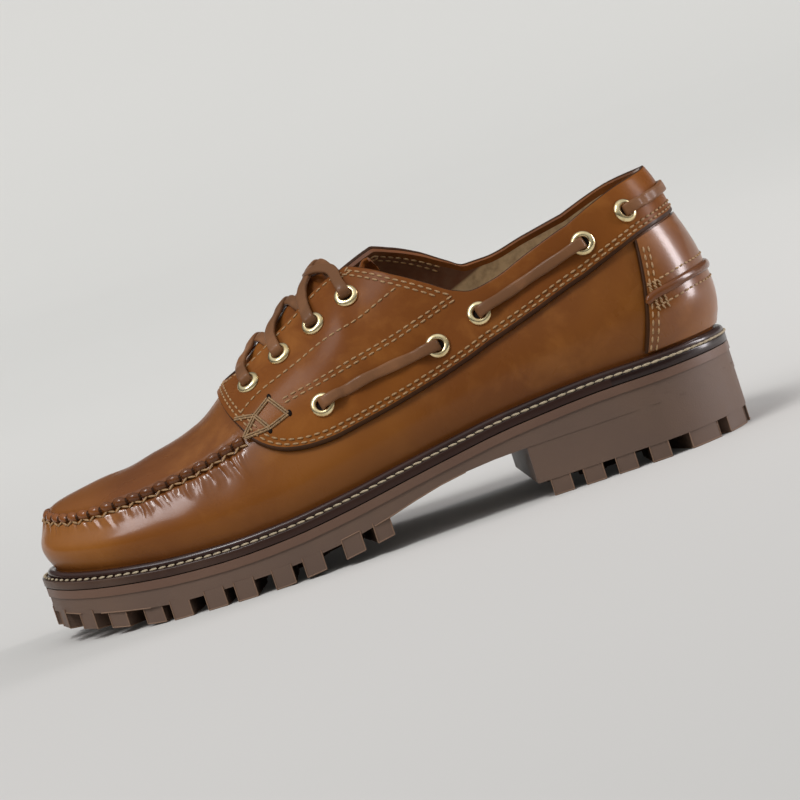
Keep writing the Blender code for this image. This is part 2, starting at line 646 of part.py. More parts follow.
def tread(name, outlines, low, high, group):
    """All the blocks of one part of the tread, standing side by side."""
    points, faces = [], []
    for corners in outlines:
        block, around = prism(corners, low, high)
        faces += [tuple(len(points) + i for i in face) for face in around]
        points += block
    return cutter(solid(name, points, faces, group))


def table(rows):
    return lambda station: float(smooth_table(rows, station))


def build_outsole(parts, cutters, look):
    """Base slab, heel block and the tread's blocks, each ending in the curved floor of the tread."""
    top = lambda x: seat_height(x) - WELT_DEPTH - GAP
    step = lambda x: top(x) - 3.6
    waist = table(WAIST)
    outsole = plate("outsole", EDGE, [(0, top), (0, step), (-0.5, step), (-0.5, waist)], parts, look)
    block = cutter(solid("heel_block", *prism(heel_outline(0.7), HEEL_TREAD, 25.5), cutters))
    blocks = [bar_corners(bar[:2], bar[2:]) for bar in HEEL_BARS] + [star_corners(HEEL_STAR)]
    blocks += [wedge_corners(wedge) for wedge in HEEL_WEDGES]
    heel_tread = tread("heel_tread", blocks, -5, HEEL_TREAD + 2, cutters)
    heel_room = cutter(solid("heel_room", *prism(heel_outline(1.0), 0, HEEL_TREAD + 1), cutters))
    boolean(heel_tread, "INTERSECT", heel_room)
    blocks = [bar_corners(bar[:2], bar[2:]) for bar in FOREFOOT_BARS]
    blocks += [star_corners(star) for star in FOREFOOT_STARS]
    fore_tread = tread("fore_tread", blocks, -5, 30, cutters)
    sunk = lambda x: waist(x) + 1.5
    plan = outline(EDGE, 0)
    start = int(np.argmax(np.minimum(plan[LATERAL][:, 0], plan[MEDIAL][:, 0]) > TREAD[0][0]))
    fore_room = cutter(plate("fore_room", EDGE, [(-0.25, sunk), (-0.25, table(TREAD))], cutters,
                             span=(start, None)))
    boolean(fore_tread, "INTERSECT", fore_room)
    for piece in (block, heel_tread, fore_tread):
        boolean(outsole, "UNION", piece)
    return outsole


def heel_outline(inset):
    """The heel block's plan: the sole's outline back from the slanting breast."""
    plan = outline(EDGE, -inset, 60)
    breast = {side: HEEL_BREAST[side] - inset for side in plan}
    sides = {side: [tuple(p) for p in plan[side] if p[0] < breast[side] - 1] for side in plan}
    corners = [(breast[side], float(np.interp(breast[side], *plan[side].T))) for side in plan]
    return [corners[1]] + sides[MEDIAL][:0:-1] + sides[LATERAL] + [corners[0]]


def wedge_corners(wedge):
    """A wedge of the heel's tread, its outer corners carried out past the sole's edge."""
    corners = np.array(wedge, float).reshape(4, 2)
    middle = corners[2:].mean(axis=0)
    corners[:2] = middle + (corners[:2] - middle) * 1.35
    return corners.tolist()


def build_welt(group, look):
    """Rib, ledge and edge in one ring, with a shelf inside that carries upper and insole."""
    profile = [(-6, -7), (1, -7), (1, -3.4), (3.7, -2.7), (3.5, -0.9), (2, -0.1), (0.4, -0.5),
               (0.4, -2.6), (-6, -2.6)]
    width = table(WELT_WIDTH)
    levels = []
    for out, up in profile:
        reach = (lambda x: np.array([width(s) for s in x])) if out == 1 else out
        levels.append((reach, lambda x, up=up: seat_height(x) + up))
    rings = []
    for out, height in levels:
        plan = outline(FEATHER, out, 28)
        whole = np.concatenate([plan[LATERAL], plan[MEDIAL][-2:0:-1]])
        rings.append([(x, y, height(x)) for x, y in whole])
    return solid("welt", *loft([list(line) for line in zip(*rings)], ring=True), group, look)


def build_insole(group, look):
    levels = [(-WALL - 2 * GAP, 0.8), (-WALL - 2 * GAP, -2.3), (-6.4, -2.3), (-6.4, -WELT_DEPTH)]
    levels = [(out, lambda x, up=up: seat_height(x) + up) for out, up in levels]
    return plate("insole", FEATHER, levels, group, look)


# ---- Eyelets and laces

def spot_frame(around, up):
    """On the saddle: the point, the normal, and the direction that climbs."""
    point = SKIN.at(around, up, GAP + OVERLAY)
    normal = SKIN.at(around, up, GAP + OVERLAY + 1) - point
    normal /= np.linalg.norm(normal)
    climb = SKIN.at(around, up + 0.02) - SKIN.at(around, up - 0.02)
    climb -= normal * climb.dot(normal)
    return point, normal, climb / np.linalg.norm(climb)


def build_eyelet(name, around, up, group, look):
    point, normal, climb = spot_frame(around, up)
    aside = np.cross(normal, climb)
    profile = [(2.65, GAP + 0.2), (2.65, 1.2), (4.0, 1.6), (5.2, GAP + 0.2)]
    sections = []
    for turn in np.linspace(0, 2 * math.pi, 12, endpoint=False):
        spoke = math.cos(turn) * climb + math.sin(turn) * aside
        sections.append([point + spoke * reach + normal * height for reach, height in profile])
    return solid(name, *loft(sections, ring=True), group, look)


def ribbon(path, ups, half, thick):
    """Closed sections of a flat lace along a path, whose faces look along ups."""
    path, ups = np.array(path), np.array(ups)
    along = np.gradient(path, axis=0)
    along /= np.linalg.norm(along, axis=1)[:, None]
    sections = []
    for point, ahead, up in zip(path, along, ups):
        side = np.cross(ahead, up)
        side /= np.linalg.norm(side)
        face = np.cross(side, ahead)
        corners = [(-1, 0), (-0.75, -1), (0.75, -1), (1, 0), (0.75, 1), (-0.75, 1)]
        sections.append([point + side * half * a + face * thick * b for a, b in corners])
    return sections


def lead(around, up, towards):
    """The lace coming out of an eyelet and bending over its rim: points and the way it faces."""
    point, normal, _ = spot_frame(around, up)
    ahead = towards - point
    ahead -= normal * ahead.dot(normal)
    ahead /= np.linalg.norm(ahead)
    path = [(0, GAP), (0, 1.4), (0.5, 2.4), (2.0, 3.0), (5.4, 3.0), (7.6, 2.5)]
    turns = [0, 0, 0.5, 1, 1, 1]
    points = [point + ahead * along + normal * high for along, high in path]
    return points, [normal * turn - ahead * (1 - turn) for turn in turns]


def on_skin(spots):
    """Points at (around, up, out), and the surface's normals there."""
    points = [SKIN.at(*spot) for spot in spots]
    return points, [SKIN.at(around, up, out + 1) - SKIN.at(around, up, out) for around, up, out in spots]


def lace_between(first, second, middle):
    """A lace from one eyelet to another by way of spots (around, up, out)."""
    points, ups = on_skin(middle)
    start, start_ups = lead(*first, points[0])
    end, end_ups = lead(*second, points[-1])
    return ribbon(start + points + end[::-1], start_ups + ups + end_ups[::-1], *LACE)


def crossing(side, number):
    """One strand from its front eyelet over the throat, tucked in under the other edge."""
    row, up = FRONT_EYELETS[number]
    following = FRONT_EYELETS[number + 1][0]
    steps = [(0.3, 14.5, 2.9), (0.42, 8, 1.5), (0.5, 0, 0.9), (0.62, -7, 0.3), (0.75, -13, -0.9)]
    middle = []
    for share, aside, out in steps:
        at = row + (following - row) * share
        middle.append((*across_throat(at, side * aside), out))
    points, ups = on_skin(middle)
    start, start_ups = lead(side * row, up, points[0])
    return ribbon(start + points, start_ups + ups, *LACE)


def build_laces(parts, cutters, look):
    rest = 2 * GAP + OVERLAY + LACE[1]
    for number in range(3):
        name = f"front_lace_{number + 1}"
        lace = solid(name, *loft(crossing(LATERAL, number)), parts, look)
        other = solid(name + "_other", *loft(crossing(MEDIAL, number)), cutters)
        boolean(lace, "UNION", cutter(other))
    row, up = FRONT_EYELETS[3]
    middle = [(*across_throat(row, aside), out) for aside, out in
              ((14.5, 2.9), (7, 0.7), (0, 0), (-7, 0.7), (-14.5, 2.9))]
    solid("front_lace_4", *loft(lace_between((row, up), (-row, up), middle)), parts, look)
    for name, side in SIDES.items():
        for number, (a, b) in enumerate(((0, 1), (2, 3)), start=1):
            (row, up), (row_b, up_b) = SIDE_EYELETS[a], SIDE_EYELETS[b]
            shares = np.linspace(0, 1, 7)[1:-1] if a == 0 else [0.4, 0.6]
            middle = [(side * (row + (row_b - row) * t), up + (up_b - up) * t, rest) for t in shares]
            lace = lace_between((side * row, up), (side * row_b, up_b), middle)
            solid(f"side_lace_{name}_{number}", *loft(lace), parts, look)
    row, up = SIDE_EYELETS[4]
    middle = [(row * t, up + 0.01 * (1 - t * t), rest) for t in (0.7, 0.45, 0.22, 0, -0.22, -0.45, -0.7)]
    solid("back_lace", *loft(lace_between((row, up), (-row, up), middle)), parts, look)


def main():
    groups = fresh_scene()
    parts, cutters = groups["parts"], groups["cutters"]
    leather = material("tan_leather", (0.33, 0.11, 0.035), 0.35)
    rubber = material("brown_rubber", (0.13, 0.075, 0.05), 0.75)
    dark = material("dark_welt", (0.04, 0.015, 0.01), 0.4)
    lining = material("lining_leather", (0.2, 0.09, 0.045), 0.6)
    cord = material("rawhide_lace", (0.2, 0.1, 0.045), 0.6)
    brass = material("brass", (0.8, 0.6, 0.3), 0.3, 1.0)
    build_outsole(parts, cutters, rubber)
    build_welt(parts, dark)
    build_insole(parts, lining)
    build_upper(parts, leather)
    build_tongue(parts, leather)
    build_saddle(parts, leather)
    build_counter(parts, leather)
    build_heel_rib(parts, leather)
    build_moc_seam(parts, leather)
    for name, side in SIDES.items():
        for kind, spots in (("front", FRONT_EYELETS), ("side", SIDE_EYELETS)):
            for number, (row, up) in enumerate(spots, start=1):
                build_eyelet(f"eyelet_{kind}_{name}_{number}", side * row, up, parts, brass)
    build_laces(parts, cutters, cord)


main()
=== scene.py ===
"""Camp moccasin, left shoe: the looks of a hand-sewn leather upper on a lugged rubber sole.

Lengths are millimetres on the shoe's last and become metres where meshes are made. A place on the
upper is (around, up): around is the row of the last, minus on the inner side, and up runs from 0
at the sole to 1 at the centre line.
"""

import math

import bmesh
import bpy
import numpy as np
from mathutils import Matrix, Vector


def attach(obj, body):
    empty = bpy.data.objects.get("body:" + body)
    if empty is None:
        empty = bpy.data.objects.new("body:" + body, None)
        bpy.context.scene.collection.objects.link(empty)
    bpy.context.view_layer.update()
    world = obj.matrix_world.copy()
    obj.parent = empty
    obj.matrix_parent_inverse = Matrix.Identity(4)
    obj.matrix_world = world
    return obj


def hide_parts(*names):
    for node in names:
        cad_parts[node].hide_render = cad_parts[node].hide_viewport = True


bl_info = {
    "name": "Camp Moccasin",
    "version": (1, 0, 0),
    "blender": (4, 5, 0),
    "location": "3D View > Sidebar > Moccasin",
    "description": "Dresses the frame of a camp moccasin in leather, rubber, brass and thread",
    "category": "Object",
}

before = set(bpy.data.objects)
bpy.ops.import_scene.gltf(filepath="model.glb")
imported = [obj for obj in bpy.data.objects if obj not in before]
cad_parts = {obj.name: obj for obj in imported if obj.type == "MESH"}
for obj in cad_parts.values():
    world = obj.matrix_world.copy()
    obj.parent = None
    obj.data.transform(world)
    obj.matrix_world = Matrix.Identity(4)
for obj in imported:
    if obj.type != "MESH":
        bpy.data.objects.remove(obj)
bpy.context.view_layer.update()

MM = 0.001
ORIGIN = np.array([147.1, 3.8, 0.0])  # the row frame's origin, in the last's millimetres
WALL, OVERLAY, GAP = 2.0, 1.7, 0.3
SADDLE_FACE = GAP + OVERLAY
BULGE_HEIGHT = 11.0  # over the welt's rib
HALF_THROAT, THROAT_FRONT, THROAT_ROUND = 17.0, 200.0, 14.0
LATERAL, MEDIAL = 1, -1
SIDES = {"lateral": LATERAL, "medial": MEDIAL}

# Plan outline of the sole, from heel to toe: station, distance from the shoe's axis.
SOLE_OUTLINE = {
    LATERAL: [(-4, 0), (2, 19), (14, 33), (29, 42), (46, 45), (71, 47), (113, 51), (149, 58),
              (190, 61.5), (220, 59.5), (247, 52.5), (278, 38), (295, 20), (301, -2)],
    MEDIAL: [(-4, 0), (2, 18), (14, 32), (29, 41.8), (46, 44.9), (74, 44), (98, 37), (116, 33.6),
             (134, 35), (154, 40), (169, 45.6), (186, 51), (208, 53.8), (237, 52.2), (266, 44.5),
             (290, 28), (301, 2)],
}
WELT_WIDTH = [(-4, 4.2), (40, 4.6), (100, 5.6), (180, 6.2), (260, 6.4), (301, 7.0)]
RIB_REACH, LEDGE_UP = 3.9, -2.95  # how far out the welt's rib comes, and its ledge's height from the seat

# Height of the welt's rib, where the upper starts, along the shoe: station, height.
SEAT = [(-8, 42.0), (46, 42.4), (91, 39.8), (120, 36.0), (143, 32.6), (168, 28.7), (195, 25.6),
        (220, 24.6), (240, 25.0), (265, 27.0), (285, 29.4), (301, 32.0)]

# The last, a row for each section from the back of the heel to the toe. "turn" is the section's
# direction in plan. bulge is outward in mm; mid, shoulder and crown are points on the wall, each
# as a share of the bottom edge's distance and a height; ridge is the height on the centre line.
LAST_COLUMNS = "station centre turn bulge mid mid_z shoulder shoulder_z crown crown_z ridge_z"
HEEL_BACK = (46, 0.0, 180, 2.6, 1.070, 66, 0.950, 91, 0.820, 113, 138)
TOE_TURN = [(256, 1.5, 90, 2.2, 0.985, 43.5, 0.880, 52, 0.500, 58.8, 61.2),
            (256, 1.5, 45, 2.5, 1.000, 44.5, 0.895, 52, 0.500, 58.8, 61.2),
            (256, 1.5, 0, 2.8, 1.030, 46, 0.930, 53, 0.500, 59.0, 61.2)]
LAST = {
    LATERAL: [
        HEEL_BACK,
        (46, 0.0, 135, 2.5, 1.060, 66, 0.945, 90, 0.815, 110, 138),
        (46, 0.0, 90, 2.3, 1.040, 66, 0.930, 85, 0.800, 104, 138),
        (91, 1.0, 90, 2.4, 1.030, 64, 0.900, 80, 0.760, 95, 134),
        (120, 2.0, 90, 2.4, 1.010, 60, 0.880, 80, 0.640, 104, 127),
        (143, 2.0, 90, 2.4, 1.000, 56, 0.860, 78, 0.570, 101, 119.5),
        (168, 2.5, 90, 2.2, 0.990, 51, 0.865, 67, 0.600, 87, 104),
        (195, 3.0, 90, 2.0, 0.985, 47, 0.870, 61, 0.580, 77, 86.5),
        (220, 2.5, 90, 2.0, 0.980, 45, 0.865, 55.5, 0.500, 65.3, 69.5),
        (240, 2.0, 90, 2.0, 0.980, 44, 0.870, 53, 0.500, 60.8, 64.2),
        *TOE_TURN,
    ],
    MEDIAL: [
        HEEL_BACK,
        (46, 0.0, 135, 2.5, 1.055, 66, 0.940, 90, 0.810, 110, 138),
        (46, 0.0, 90, 2.3, 1.030, 66, 0.920, 85, 0.790, 104, 138),
        (91, 1.0, 90, 3.6, 1.110, 64, 1.030, 82, 0.890, 99, 134),
        (120, 2.0, 90, 5.0, 1.260, 60, 1.210, 80, 0.860, 107, 127),
        (143, 2.0, 90, 4.6, 1.180, 55, 1.100, 76, 0.760, 101, 119.5),
        (168, 2.5, 90, 3.2, 1.050, 50, 0.960, 67, 0.650, 88, 104),
        (195, 3.0, 90, 2.2, 0.990, 46, 0.880, 61, 0.580, 77, 86.5),
        (220, 2.5, 90, 2.0, 0.980, 44, 0.865, 55.5, 0.500, 65.3, 69.5),
        (240, 2.0, 90, 2.0, 0.980, 43, 0.870, 53, 0.500, 60.8, 64.2),
        *TOE_TURN,
    ],
}
TOE_ROW = 12.0

# The collar line from the back of the heel to the top of the facing: row of the last, height.
COLLAR = {
    LATERAL: [(0, 114.5), (1, 111.5), (2, 103.0), (2.4, 97.4), (2.8, 91.2), (3, 89.8), (3.25, 92.0),
              (3.6, 98.4), (4, 105.4), (4.35, 110.0), (4.7, 113.2), (5, 115.0)],
    MEDIAL: [(0, 114.5), (1, 111.5), (2, 104.0), (2.4, 100.4), (2.8, 96.8), (3, 96.8), (3.25, 101.0),
             (3.6, 108.0), (4, 113.8), (4.35, 117.0), (4.7, 118.8), (5, 119.5)],
}

# Lines drawn on the upper's side: row of the last, share of the way up.
SADDLE_EDGE = [(0, 0.435), (0.6, 0.43), (1.0, 0.42), (1.4, 0.395), (1.95, 0.35), (2.6, 0.283), (3.3, 0.233),
               (4.2, 0.207), (5.05, 0.200), (5.65, 0.206), (6.1, 0.225), (6.45, 0.258), (6.7, 0.300),
               (6.95, 0.375), (7.05, 0.43), (7.15, 0.50), (7.22, 0.56), (7.28, 0.64), (7.33, 0.75),
               (7.365, 0.88), (7.38, 1.0)]
SEAM_LINE = [(7.15, 0.425), (7.5, 0.43), (8, 0.425), (8.7, 0.42), (9.4, 0.415), (10, 0.42), (10.5, 0.415),
             (11, 0.41), (12, 0.41)]
COUNTER_EDGE = [(0, 1.56), (0.35, 1.42), (0.7, 1.28), (1, 1.16)]  # share of the counter's height, row
COUNTER_FOOT, COUNTER_GAP = 0.012, 0.017  # where it starts, and what its height lacks to the saddle
RIB_LINE = [(0, 0.218), (0.6, 0.217), (1.0, 0.208), (1.25, 0.200), (1.38, 0.186)]
FRONT_EYELETS = [(6.80, 0.675), (6.22, 0.69), (5.55, 0.683), (4.90, 0.692)]
SIDE_EYELETS = [(5.80, 0.358), (3.70, 0.333), (3.00, 0.375), (1.85, 0.467), (1.10, 0.517)]

LACE_HALF_WIDTH, LACE_HALF_THICKNESS = 2.15, 0.9
# The tongue: station, half width, lift.
TONGUE = [(214, 19, -1.5), (206, 20, -2.5), (196, 21, -1.1), (181, 22, -0.3), (166, 23, -0.3),
          (152, 24, -0.3), (143, 23, -0.4), (138, 20, -0.6), (133, 14, -1), (129, 7, -2), (126.5, 2, -3)]


def unit(vectors):
    return vectors / np.linalg.norm(vectors, axis=-1, keepdims=True)


def read_along(at, length, values):
    """The columns of values, read at these lengths."""
    return np.stack([np.interp(at, length, column) for column in values.T], axis=1)


def path_length(points):
    return np.concatenate([[0], np.cumsum(np.linalg.norm(np.diff(points, axis=0), axis=1))])


def natural_spline(points, count):
    """Points along a natural cubic through these points, by chord length."""
    points = np.array(points, float)
    at = path_length(points)
    step = np.diff(at)
    n = len(points)
    matrix, right = np.eye(n), np.zeros(points.shape)
    for i in range(1, n - 1):
        matrix[i, i - 1: i + 2] = step[i - 1], 2 * (step[i - 1] + step[i]), step[i]
        right[i] = 6 * ((points[i + 1] - points[i]) / step[i] - (points[i] - points[i - 1]) / step[i - 1])
    bend = np.linalg.solve(matrix, right)
    x = np.linspace(0, at[-1], count)
    k = np.clip(np.searchsorted(at, x, side="right") - 1, 0, n - 2)
    h = step[k][:, None]
    a, b = (at[k + 1] - x)[:, None], (x - at[k])[:, None]
    return (bend[k] * a**3 + bend[k + 1] * b**3) / (6 * h) + (points[k] / h - bend[k] * h / 6) * a + (
        points[k + 1] / h - bend[k + 1] * h / 6) * b


def smooth_table(rows, x):
    """Value at x of a table of (x, value) rows, with no overshoot between them."""
    rows = np.array(sorted(rows), float)
    at, value = rows[:, 0], rows[:, 1]
    step = np.diff(at)
    rise = np.diff(value) / step
    slope = np.zeros(len(at))
    slope[0], slope[-1] = rise[0], rise[-1]
    for i in range(1, len(at) - 1):
        if rise[i - 1] * rise[i] > 0:
            w1, w2 = 2 * step[i] + step[i - 1], step[i] + 2 * step[i - 1]
            slope[i] = (w1 + w2) / (w1 / rise[i - 1] + w2 / rise[i])
    x = np.clip(np.asarray(x, float), at[0], at[-1])
    k = np.clip(np.searchsorted(at, x, side="right") - 1, 0, len(at) - 2)
    t = (x - at[k]) / step[k]
    return ((1 + 2 * t) * (1 - t) ** 2 * value[k] + t * (1 - t) ** 2 * step[k] * slope[k]
            + t * t * (3 - 2 * t) * value[k + 1] + t * t * (t - 1) * step[k] * slope[k + 1])


def seat_height(station):
    """Height of the welt's rib at a station."""
    return smooth_table(SEAT, station)


# ---------------------------------------------------------------- outlines

EDGE_POINTS = 400


def inset(points, distance):
    """A heel-to-toe line moved sideways towards the shoe's axis."""
    along = unit(np.gradient(points, axis=0))
    across = np.stack([-along[:, 1], along[:, 0]], axis=1)
    side = -np.sign(points[len(points) // 2, 1])
    return points + across * side * np.asarray(distance).reshape(-1, 1)


def sole_edge(side):
    """The sole's outline on one side, from heel to toe, run on past both ends so that they round off."""
    line = np.array(SOLE_OUTLINE[side], float) * (1, side)
    whole = np.concatenate([line[1:4][::-1] * (1, -1), line, line[-4:-1][::-1] * (1, -1)])
    dense = natural_spline(whole, 2 * EDGE_POINTS)
    first = np.argmin(np.linalg.norm(dense - line[0], axis=1))
    last = np.argmin(np.linalg.norm(dense - line[-1], axis=1))
    dense = dense[first:last + 1]
    return read_along(np.linspace(0, len(dense) - 1, EDGE_POINTS), np.arange(len(dense)), dense)


EDGE = {side: sole_edge(side) for side in (LATERAL, MEDIAL)}
FEATHER = {side: inset(EDGE[side], smooth_table(WELT_WIDTH, EDGE[side][:, 0])) for side in EDGE}


def ray_hit(line, start, angle):
    """Distance from start, along this direction, to the line."""
    way = np.array([math.cos(angle), math.sin(angle)])
    rest = line - start
    across = rest[:, 0] * way[1] - rest[:, 1] * way[0]
    along = rest @ way
    hits = np.nonzero((across[:-1] * across[1:] <= 0) & (along[:-1] > 0))[0]
    if not len(hits):
        return along[np.argmin(np.where(along > 0, np.abs(across), 1e9))]
    i = hits[0]
    t = across[i] / (across[i] - across[i + 1]) if across[i] != across[i + 1] else 0
    return along[i] + t * (along[i + 1] - along[i])


# ---------------------------------------------------------------- the last's surface

SECTION_STEPS = 120
SPLINE_STEPS = 1200
ROW_STEP = 0.025
CENTRE_BLEND = 8  # steps below the centre line over which both sides take one facing


def last_row(side, row):
    """The last's columns at any row."""
    names = LAST_COLUMNS.split()
    table = np.array(LAST[side], float)
    values = {}
    for i, name in enumerate(names):
        if name in ("station", "turn"):
            values[name] = np.interp(row, np.arange(len(table)), table[:, i])
        else:
            values[name] = float(smooth_table(list(enumerate(table[:, i])), row))
    return values


def section(side, row):
    """One section of the last, from the bottom edge to the centre line, as SECTION_STEPS + 1 points."""
    s = last_row(side, row)
    centre = np.array([s["station"], s["centre"]])
    angle = side * math.radians(s["turn"])
    line = np.concatenate([FEATHER[MEDIAL][::-1], FEATHER[LATERAL]]) if s["turn"] > 90 else np.concatenate(
        [FEATHER[side], FEATHER[-side][::-1]])
    reach = ray_hit(line, centre, angle)
    foot = centre + reach * np.array([math.cos(angle), math.sin(angle)])
    low = float(seat_height(foot[0]))
    half = [(reach, low), (reach + s["bulge"], low + BULGE_HEIGHT), (reach * s["mid"], s["mid_z"]),
            (reach * s["shoulder"], s["shoulder_z"]), (reach * s["crown"], s["crown_z"])]
    whole = half + [(0, s["ridge_z"])] + [(-out, z) for out, z in half[::-1][:3]]
    dense = natural_spline(whole, SPLINE_STEPS)
    end = np.argmax(dense[:, 0] <= 0)
    dense = dense[:end + 1]
    dense[-1] = 0, s["ridge_z"]
    length = path_length(dense)
    out, z = read_along(np.linspace(0, length[-1], SECTION_STEPS + 1), length, dense).T
    return np.stack([centre[0] + out * math.cos(angle), centre[1] + out * math.sin(angle), z], axis=1)


class Skin:
    """The last's outer surface, read at arrays of (around, up)."""

    def __init__(self):
        rows = np.arange(0, TOE_ROW + ROW_STEP / 2, ROW_STEP)
        inner = [section(MEDIAL, row) for row in rows[:0:-1]]
        outer = [section(LATERAL, row) for row in rows]
        self.points = np.array(inner + outer)
        ring = self.points[:-1]
        around = np.roll(ring, -2, axis=0) - np.roll(ring, 2, axis=0)
        up = np.gradient(ring, axis=1)
        normals = np.cross(around, up)
        normals[:, -4:] = normals[:, -5:-4]
        normals = np.concatenate([normals, normals[:1]])
        self.normals = -unit(normals)
        top = self.normals[:, -1] + self.normals[::-1, -1]
        at_toe = np.abs(np.linspace(-TOE_ROW, TOE_ROW, len(top))) >= TOE_ROW - 2
        top[at_toe] = top[at_toe].mean(axis=0)
        top = unit(top)
        for k in range(CENTRE_BLEND):
            share = k / CENTRE_BLEND
            self.normals[:, -1 - k] = top * (1 - share) + self.normals[:, -1 - k] * share
        self.normals[:, -1] = top
        self.normals = unit(self.normals)

    def read(self, grid, around, up):
        """The grid's values between its rows and steps."""
        around, up = np.broadcast_arrays(np.asarray(around, float), np.asarray(up, float))
        i = np.clip(((around + TOE_ROW) % (2 * TOE_ROW)) / ROW_STEP, 0, len(self.points) - 1.0001)
        i = np.where(around == TOE_ROW, len(self.points) - 1.0001, i)
        j = np.clip(up * SECTION_STEPS, 0, SECTION_STEPS - 0.0001)
        i0, j0 = i.astype(int), j.astype(int)
        a, b = (i - i0)[..., None], (j - j0)[..., None]
        low = grid[i0, j0] * (1 - b) + grid[i0, j0 + 1] * b
        high = grid[i0 + 1, j0] * (1 - b) + grid[i0 + 1, j0 + 1] * b
        return low * (1 - a) + high * a

    def facing(self, around, up):
        return unit(self.read(self.normals, around, up))

    def at(self, around, up, out=0.0):
        """The points this far outside the surface."""
        return self.read(self.points, around, up) + np.asarray(out)[..., None] * self.facing(around, up)

    def up_to(self, around, reached):
        """The lowest share of a section at which reached(point, distance to the centre line) holds."""
        i = (around + TOE_ROW) / ROW_STEP
        i0, i1 = math.floor(i), math.ceil(i)
        line = self.points[i0] * (1 + i0 - i) + self.points[i1] * (i - i0)
        away = np.linalg.norm(line[:, :2] - line[-1, :2], axis=1)
        score = reached(line, away)
        k = int(np.argmax(score >= 0))
        if score[k] < 0:
            return 1.0
        if k == 0:
            return 0.0
        return (k - 1 + score[k - 1] / (score[k - 1] - score[k])) / SECTION_STEPS


SKIN = Skin()


# ---------------------------------------------------------------- lines on the last

STATIONS = [row[0] for row in LAST[LATERAL][2:11]]


def station_of(row):
    return float(np.interp(abs(row), np.arange(2, 11), STATIONS))


def row_of(station):
    return float(np.interp(station, STATIONS, np.arange(2, 11)))


def half_throat(row):
    """Half the throat's width, rounded off at its front end."""
    past = (station_of(row) - (THROAT_FRONT - THROAT_ROUND)) / THROAT_ROUND
    return HALF_THROAT * math.sqrt(max(0.0, 1 - max(0.0, past) ** 2))


def rim(around):
    """How far up each section the leather reaches: the collar, the throat's edge or the centre line."""
    row, side = abs(around), LATERAL if around >= 0 else MEDIAL
    if station_of(row) >= THROAT_FRONT and row > 2:
        return 1.0
    up = 1.0
    if row <= COLLAR[side][-1][0]:
        height = float(smooth_table(COLLAR[side], row))
        up = SKIN.up_to(around, lambda line, away: line[:, 2] - height)
    if row > 4:
        half = half_throat(row)
        up = min(up, SKIN.up_to(around, lambda line, away: half - away))
    return up


def across_throat(row, aside):
    """(around, up) at a distance from the centre line, minus on the inner side."""
    around = row if aside >= 0 else -row
    return around, SKIN.up_to(around, lambda line, away: abs(aside) - away)


RIM_AT = np.arange(-7.6, 7.6001, 0.01)
RIM_UP = np.array([rim(around) for around in RIM_AT])
RIM_UP[np.abs(RIM_AT) >= row_of(THROAT_FRONT)] = 1.0
RIM_END = 7.5


def rims(around):
    """rim() for arrays, read from a table."""
    around = np.asarray(around, float)
    return np.where(np.abs(around) > RIM_END, 1.0, np.interp(around, RIM_AT, RIM_UP))


def lows(around):
    """The saddle's lower edge."""
    return smooth_table(SADDLE_EDGE, np.abs(around))


def seam_up(around):
    return smooth_table(SEAM_LINE, np.abs(around))


def rise(around, up):
    """Millimetres of surface to one whole share up, here."""
    above = np.minimum(up + 0.01, 1)
    return np.linalg.norm(SKIN.at(around, above) - SKIN.at(around, up - 0.01), axis=-1) / (above - up + 0.01)


def ease(value, low, high):
    t = np.clip((value - low) / (high - low), 0, 1)
    return t * t * (3 - 2 * t)


# ---------------------------------------------------------------- meshes

LOOKS = {}


def place(points):
    """Metres in the frame, from millimetres on the last."""
    return (np.asarray(points, float) - ORIGIN) * MM


def spots_of(mesh):
    """The mesh's points as millimetres on the last."""
    return np.array([corner.co for corner in mesh.vertices]) / MM + ORIGIN


def linked(name, mesh):
    made = bpy.data.objects.new(name, mesh)
    bpy.context.scene.collection.objects.link(made)
    return made


def object_from(name, points, faces, looks, parts=None, sharp=40):
    """A shaded mesh object, from millimetre points. parts gives each face's look."""
    mesh = bpy.data.meshes.new(name)
    mesh.from_pydata(place(points).tolist(), [], [list(map(int, face)) for face in faces])
    for look in looks:
        mesh.materials.append(LOOKS[look])
    if parts is not None:
        mesh.polygons.foreach_set("material_index", np.asarray(parts, np.int32))
    body = bmesh.new()
    body.from_mesh(mesh)
    bmesh.ops.remove_doubles(body, verts=body.verts, dist=0.004 * MM)
    bmesh.ops.dissolve_degenerate(body, edges=body.edges, dist=0.0005 * MM)
    bmesh.ops.recalc_face_normals(body, faces=body.faces)
    if body.calc_volume(signed=True) < 0:
        bmesh.ops.reverse_faces(body, faces=body.faces)
    body.to_mesh(mesh)
    body.free()
    mesh.shade_smooth()
    mesh.set_sharp_from_angle(angle=math.radians(sharp))
    return linked(name, mesh)


def mark(mesh, label, values):
    """Keep a value for each point of a mesh, for its leather to read."""
    mesh.attributes.new(label, "FLOAT", "POINT").data.foreach_set("value", values.astype(np.float32))


def weave(sections, ring=False, ends=True, skip=None):
    """Points and faces through closed sections (m, k, 3), and each face's place in its section.
    skip(i, j) leaves a face out."""
    count, size = sections.shape[:2]
    faces, where = [], []
    for i in range(count if ring else count - 1):
        after = (i + 1) % count
        for j in range(size):
            if skip is not None and skip(i, j):
                continue
            beside = (j + 1) % size
            faces.append((i * size + j, i * size + beside, after * size + beside, after * size + j))
            where.append(j)
    if ends and not ring:
        for i in (0, count - 1):
            faces.append(tuple(range(i * size, (i + 1) * size)))
            where.append(0)
    return sections.reshape(-1, 3), faces, where


def woven(name, shapes, look, sharp):
    """One piece of one look, woven through each of these stacks of sections."""
    points, faces = [], []
    for shape in shapes:
        more, around, _ = weave(shape)
        faces += [tuple(len(points) + i for i in face) for face in around]
        points += list(more)
    return object_from(name, points, faces, [look], sharp=sharp)


